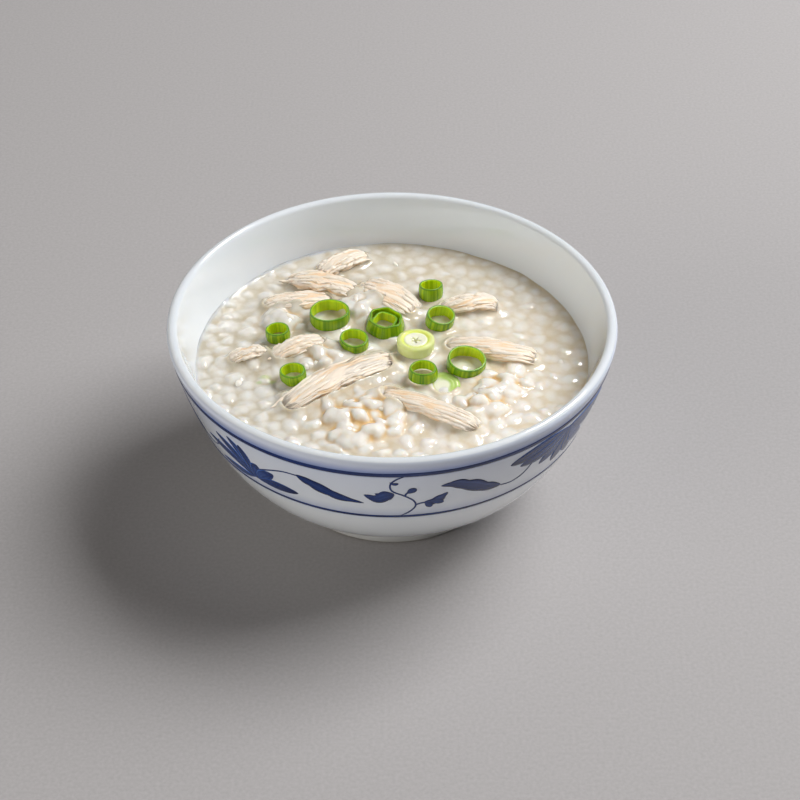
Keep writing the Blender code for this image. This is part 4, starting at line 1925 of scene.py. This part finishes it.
@dataclass
class StemSlice(OnionSlice):
    """A slice of the pale stem: wrapped sheaths round a small star-shaped hollow.

    The star is the hollow's radius and the bulge the side's, both as shares
    of the slice's radius. A star below zero leaves the middle closed. Relief
    is how strongly the sheaths' ridges show, and green how green one side is.
    """

    diameter: float = 9.2 * MM
    height: float = 4.0 * MM
    bulge: float = 0.05
    green: float = 0.0
    star: float = 0.20
    relief: float = 1.0
    rings: tuple[float, ...] = (0.0, 0.06, 0.12, 0.18, 0.24, 0.30, 0.38, 0.46, 0.54, 0.60, 0.64, 0.68,
                                0.72, 0.80, 0.88, 0.94, 0.98, 1.0)
    side_rings: int = 9
    steps: int = 120

    def star_edge(self, turn: np.ndarray) -> np.ndarray:
        """Return how far out the star's edge lies at each angle, as a share of the radius."""
        return self.star * (1.0 + 0.45 * np.cos(5 * turn + self.seed) + 0.15 * np.cos(3 * turn))

    def cut_face(self, share: np.ndarray, star: np.ndarray) -> np.ndarray:
        """Shape the upper cut: ridges of the sheaths, a groove inside the skin and the hollow.

        Args:
            share: Each ring's radius, as a share of the slice's.
            star: The star's edge at each angle.

        Returns:
            The height of each ring at each angle.
        """
        rim = np.interp(share, (0.0, 0.30, 0.60, 0.66, 0.74, 0.92, 1.0),
                        (-0.40, -0.40, -0.16, -0.52, 0.0, 0.0, -0.24))
        hollow = np.clip((star[None, :] - share[:, None]) / 0.10, 0.0, 1.0)
        ridges = rim + 0.05 * np.sin(share * 44.0) * (share < 0.62)
        crown = 0.5 * (np.sqrt(1.0 - 0.9 * share ** 4) - 1.0)
        level = 0.5 * self.height + (self.relief * ridges + (1.0 - self.relief) * crown) * MM
        return level[:, None] - 0.9 * MM * hollow

    def marks(self, share: np.ndarray, star: np.ndarray, turn: np.ndarray) -> dict[str, np.ndarray]:
        """Work out what the finish reads.

        Args:
            share: Each ring's radius, as a share of the slice's.
            star: The star's edge at each angle.
            turn: The angles in radians.

        Returns:
            Which sheath each corner is in, and how strong its veins and its green are.
        """
        layers = all_round(share, self.steps)
        layers = np.where(layers < star[None, :], layers * 0.6, np.maximum(layers, 0.27))
        veins = np.clip(0.5 + noise_round(turn, 9.0, self.seed), 0.0, 1.0)
        heading = np.clip(0.35 + 0.9 * np.cos(turn - 0.5), 0.0, 1.0)
        green = self.green * heading[None, :] * np.clip((layers - 0.30) * 5.0, 0.0, 1.0)
        middle = 0.0 if self.star > 0.0 else 0.3
        return {
            "layer": np.append(layers.ravel(), (middle, 0.3)),
            "vein": np.append(np.tile(veins, len(share)), (0.5, 0.5)),
            "green": np.append(np.clip(green, 0.0, 1.0).ravel(), (0.0, 0.0)),
        }

    def build(self) -> bpy.types.Object:
        """Build the slice.

        Returns:
            The slice's object.
        """
        radius, half, steps = 0.5 * self.diameter, 0.5 * self.height, self.steps
        share = np.array(self.rings)
        turn = math.tau * np.arange(steps) / steps
        star = self.star_edge(turn)
        top = self.cut_face(share, star)
        side_height = np.linspace(half - 0.35 * MM, -half + 0.3 * MM, self.side_rings)
        side = 1.0 + self.bulge * np.sin(np.linspace(0.25, 0.95, self.side_rings) * math.pi)
        under = np.array([0.97, 0.6, 0.3])
        # The middle of each cut is a single corner, so the rings start past it.
        out = np.concatenate([share[1:] * (1.0 - 0.03 * self.bulge), side, under]) * radius
        height = np.vstack([top[1:], all_round(side_height, steps), np.full((len(under), steps), -half)])
        uneven = 1.0 + 0.02 * np.sin(2 * turn + self.seed) + 0.012 * np.sin(3 * turn)
        out = out[:, None] * uneven[None, :]
        points = np.stack([out * np.cos(turn), out * np.sin(turn), height], axis=-1).reshape(-1, 3)
        placed = self.placed(np.vstack([points, (0.0, 0.0, top[0].mean()), (0.0, 0.0, -half)]))
        faces = loft_faces(len(out), steps, mirrored=True)
        layer = np.concatenate([share[1:], np.ones(len(side) + len(under))])
        values = self.marks(layer, star, turn)
        return mesh_piece(self.node.replace("spring_onion", "onion_stem"), placed, faces, self.finish, values)


@dataclass
class Toppings:
    """All the chicken and the spring onion."""

    def chicken(self) -> list[ChickenShred]:
        """Take the shreds from the frame.

        Returns:
            The shreds, the back ones wider than their solids by a share of their own.
        """
        meat = PoachedChicken().make()
        names = sorted(name for name in frame["nodes"] if name.startswith("chicken_shred"))
        full = {"01": 1.35, "02": 1.60, "03": 1.50, "04": 1.45, "05": 1.30, "06": 1.25, "10": 1.30}
        return [ChickenShred(node=name, finish=meat, seed=index, fullness=full.get(name[-2:], 1.1))
                for index, name in enumerate(names)]

    def onion(self) -> list[OnionSlice]:
        """Take the slices from the frame, with sizes in mm and leans in degrees like their solids'.

        Returns:
            The leaf rings and then the two stem slices.
        """
        leaf, stem = OnionLeaf().make(), OnionStem().make()
        rings = {
            "01": {"diameter": 6.6, "height": 3.8, "lean_x": -8.0},
            "02": {"diameter": 10.4, "height": 3.4},
            "03": {"diameter": 6.3, "height": 3.2, "lean_y": -4.0},
            "04": {"diameter": 7.6, "height": 3.2, "lean_x": 5.0},
            "05": {"diameter": 10.1, "height": 3.8, "lean_y": 3.0, "corners": 6, "flare": 0.20},
            "05_inner_leaf": {"diameter": 7.2, "height": 2.6, "lean_y": 3.0, "corners": 4, "wall": 0.6},
            "06": {"diameter": 7.8, "height": 3.6, "lean_x": 6.0, "lean_y": 9.0},
            "08": {"diameter": 10.0, "height": 3.4, "lean_x": 7.0, "lean_y": 8.0},
            "09": {"diameter": 7.3, "height": 2.9, "flare": 0.10},
            "10": {"diameter": 6.8, "height": 3.0, "lean_y": -5.0},
        }
        made: list[OnionSlice] = []
        for index, (number, sizes) in enumerate(rings.items()):
            scaled = {key: value * MM if key in ("diameter", "height", "wall") else value
                      for key, value in sizes.items()}
            made.append(OnionRing(node=f"spring_onion_{number}", finish=leaf, seed=index, **scaled))
        made.append(StemSlice(node="spring_onion_07", finish=stem, seed=1))
        made.append(StemSlice(node="spring_onion_11", finish=stem, seed=4, diameter=8.2 * MM,
                              height=2.4 * MM, lean_x=14.0, green=1.3, star=-0.10, relief=0.15))
        return made


# ---------------------------------------------------------------- the studio

class Reach(Enum):
    """What a lamp is for: lighting shapes, or showing as a highlight in wet and glazed parts."""

    SHAPES = "shapes"
    HIGHLIGHTS = "highlights"


@dataclass(frozen=True)
class Lamp:
    """One square light that faces the bowl.

    Its place and its side are in metres, its power is in watts and its colour
    is sRGB. A lamp with receivers reaches only those pieces.
    """

    name: str
    place: tuple[float, float, float]
    side: float
    power: float
    colour: str
    reach: Reach = Reach.SHAPES
    receivers: bpy.types.Collection | None = None
    target: tuple[float, float, float] = (0.0, 0.0, 0.03)

    def hang(self) -> None:
        """Hang the lamp."""
        data = bpy.data.lights.new(self.name, "AREA")
        data.size = self.side
        data.energy = self.power
        data.color = linear(self.colour)[:3]
        light = bpy.data.objects.new(self.name, data)
        light.location = self.place
        heading = Vector(self.target) - Vector(self.place)
        light.rotation_euler = heading.to_track_quat("-Z", "Y").to_euler()
        light.visible_glossy = self.reach is Reach.HIGHLIGHTS
        light.visible_diffuse = self.reach is Reach.SHAPES
        if self.receivers is not None:
            light.light_linking.receiver_collection = self.receivers
        bpy.context.scene.collection.objects.link(light)


@dataclass
class Studio:
    """The plain floor, the soft lights and the camera.

    The camera looks at aim from a distance, at an elevation in degrees, and
    its lens and its sensor are in mm.
    """

    elevation: float = 39.302
    distance: float = 528.2 * MM
    aim: tuple[float, float, float] = (2.0 * MM, 0.0, 24.3 * MM)
    lens: float = 90.0
    sensor: float = 36.0
    floor_size: float = 8.0
    world_colour: str = "#EDE6DE"
    world_strength: float = 0.035
    lit_food: bpy.types.Collection = field(default_factory=lambda: bpy.data.collections.new("lit_food"))
    lit_bowl: bpy.types.Collection = field(default_factory=lambda: bpy.data.collections.new("lit_bowl"))

    def build(self) -> None:
        """Build the floor, the lights and the camera."""
        self.floor()
        self.lights()
        self.camera()

    def floor(self) -> None:
        """Lay the floor under the foot ring."""
        half = 0.5 * self.floor_size
        corners = np.array([(-half, -half, 0), (half, -half, 0), (half, half, 0), (-half, half, 0)])
        mesh_piece("floor", corners, [(0, 1, 2, 3)], MattPaper().make())

    def lights(self) -> None:
        """Hang the lamps and set the faint light of the room.

        A large soft key light at the right back and a low fill at the left
        front light the shapes. Two dim panels are what wet and glazed parts
        reflect. Flags keep the reflector off all but the food, and the light
        that the floor throws back off all but the bowl.
        """
        shine = Reach.HIGHLIGHTS
        lamps = (
            Lamp("key_light", (0.80, 0.38, 1.02), 0.82, 23.0, "#FEFEFF"),
            Lamp("key_reflection", (0.42, 0.62, 1.0), 0.22, 4.2, "#FFFFFF", shine),
            Lamp("glaze_reflection", (0.80, 0.38, 1.02), 0.82, 8.5, "#FFFFFF", shine),
            Lamp("low_fill", (-0.98, -0.55, 0.27), 0.7, 7.4, "#FFFAF4"),
            Lamp("food_reflector", (-0.35, -0.75, 0.95), 0.8, 3.9, "#FFF6EC", receivers=self.lit_food),
            Lamp("floor_bounce", (-0.36, -0.80, 0.04), 0.35, 1.3, "#FFFDFA", receivers=self.lit_bowl),
        )
        for lamp in lamps:
            lamp.hang()
        world = bpy.data.worlds.new("studio_world")
        bpy.context.scene.world = world
        world.use_nodes = True
        background = world.node_tree.nodes["Background"]
        fill_sockets(background, {"Color": linear(self.world_colour), "Strength": self.world_strength})
        bpy.context.scene.view_settings.view_transform = "Standard"

    def aim_lights(self) -> None:
        """Tell the flagged lamps which pieces they reach."""
        for piece in bpy.context.scene.objects:
            if piece.type == "MESH" and piece.name.startswith(FOOD_NAMES):
                self.lit_food.objects.link(piece)
            if piece.type == "MESH" and piece.name.startswith(BOWL_NAMES):
                self.lit_bowl.objects.link(piece)

    def camera(self) -> None:
        """Place the camera in front of the bowl, looking down at it."""
        data = bpy.data.cameras.new("camera")
        data.lens = self.lens
        data.sensor_width = self.sensor
        tilt = math.radians(self.elevation)
        back = Vector((0.0, -math.cos(tilt), math.sin(tilt)))
        eye = bpy.data.objects.new("camera", data)
        eye.location = Vector(self.aim) + back * self.distance
        eye.rotation_euler = (math.pi / 2 - tilt, 0.0, 0.0)
        bpy.context.scene.collection.objects.link(eye)
        bpy.context.scene.camera = eye


def main() -> None:
    """Build every piece in order and tie it to the frame."""
    studio = Studio()
    studio.build()
    place_piece(PorcelainBowl().build(), "porcelain", "bowl")
    for piece in PaintedBand().build():
        place_piece(piece, "cobalt_decoration")
    toppings = Toppings()
    shreds, slices = toppings.chicken(), toppings.onion()
    porridge = Porridge()
    place_piece(porridge.build([*shreds, *slices]), "congee", "congee")
    place_piece(LooseRice(porridge, [*shreds, *slices]).build(), "rice")
    for shred in shreds:
        place_piece(shred.build(), "cooked_chicken", shred.node)
    for piece in slices:
        slot = "spring_onion_stem" if isinstance(piece, StemSlice) else "spring_onion_leaf"
        place_piece(piece.build(), slot, piece.node)
    studio.aim_lights()


if __name__ == "__main__":
    logging.basicConfig(level=logging.INFO, format="%(message)s")
    main()
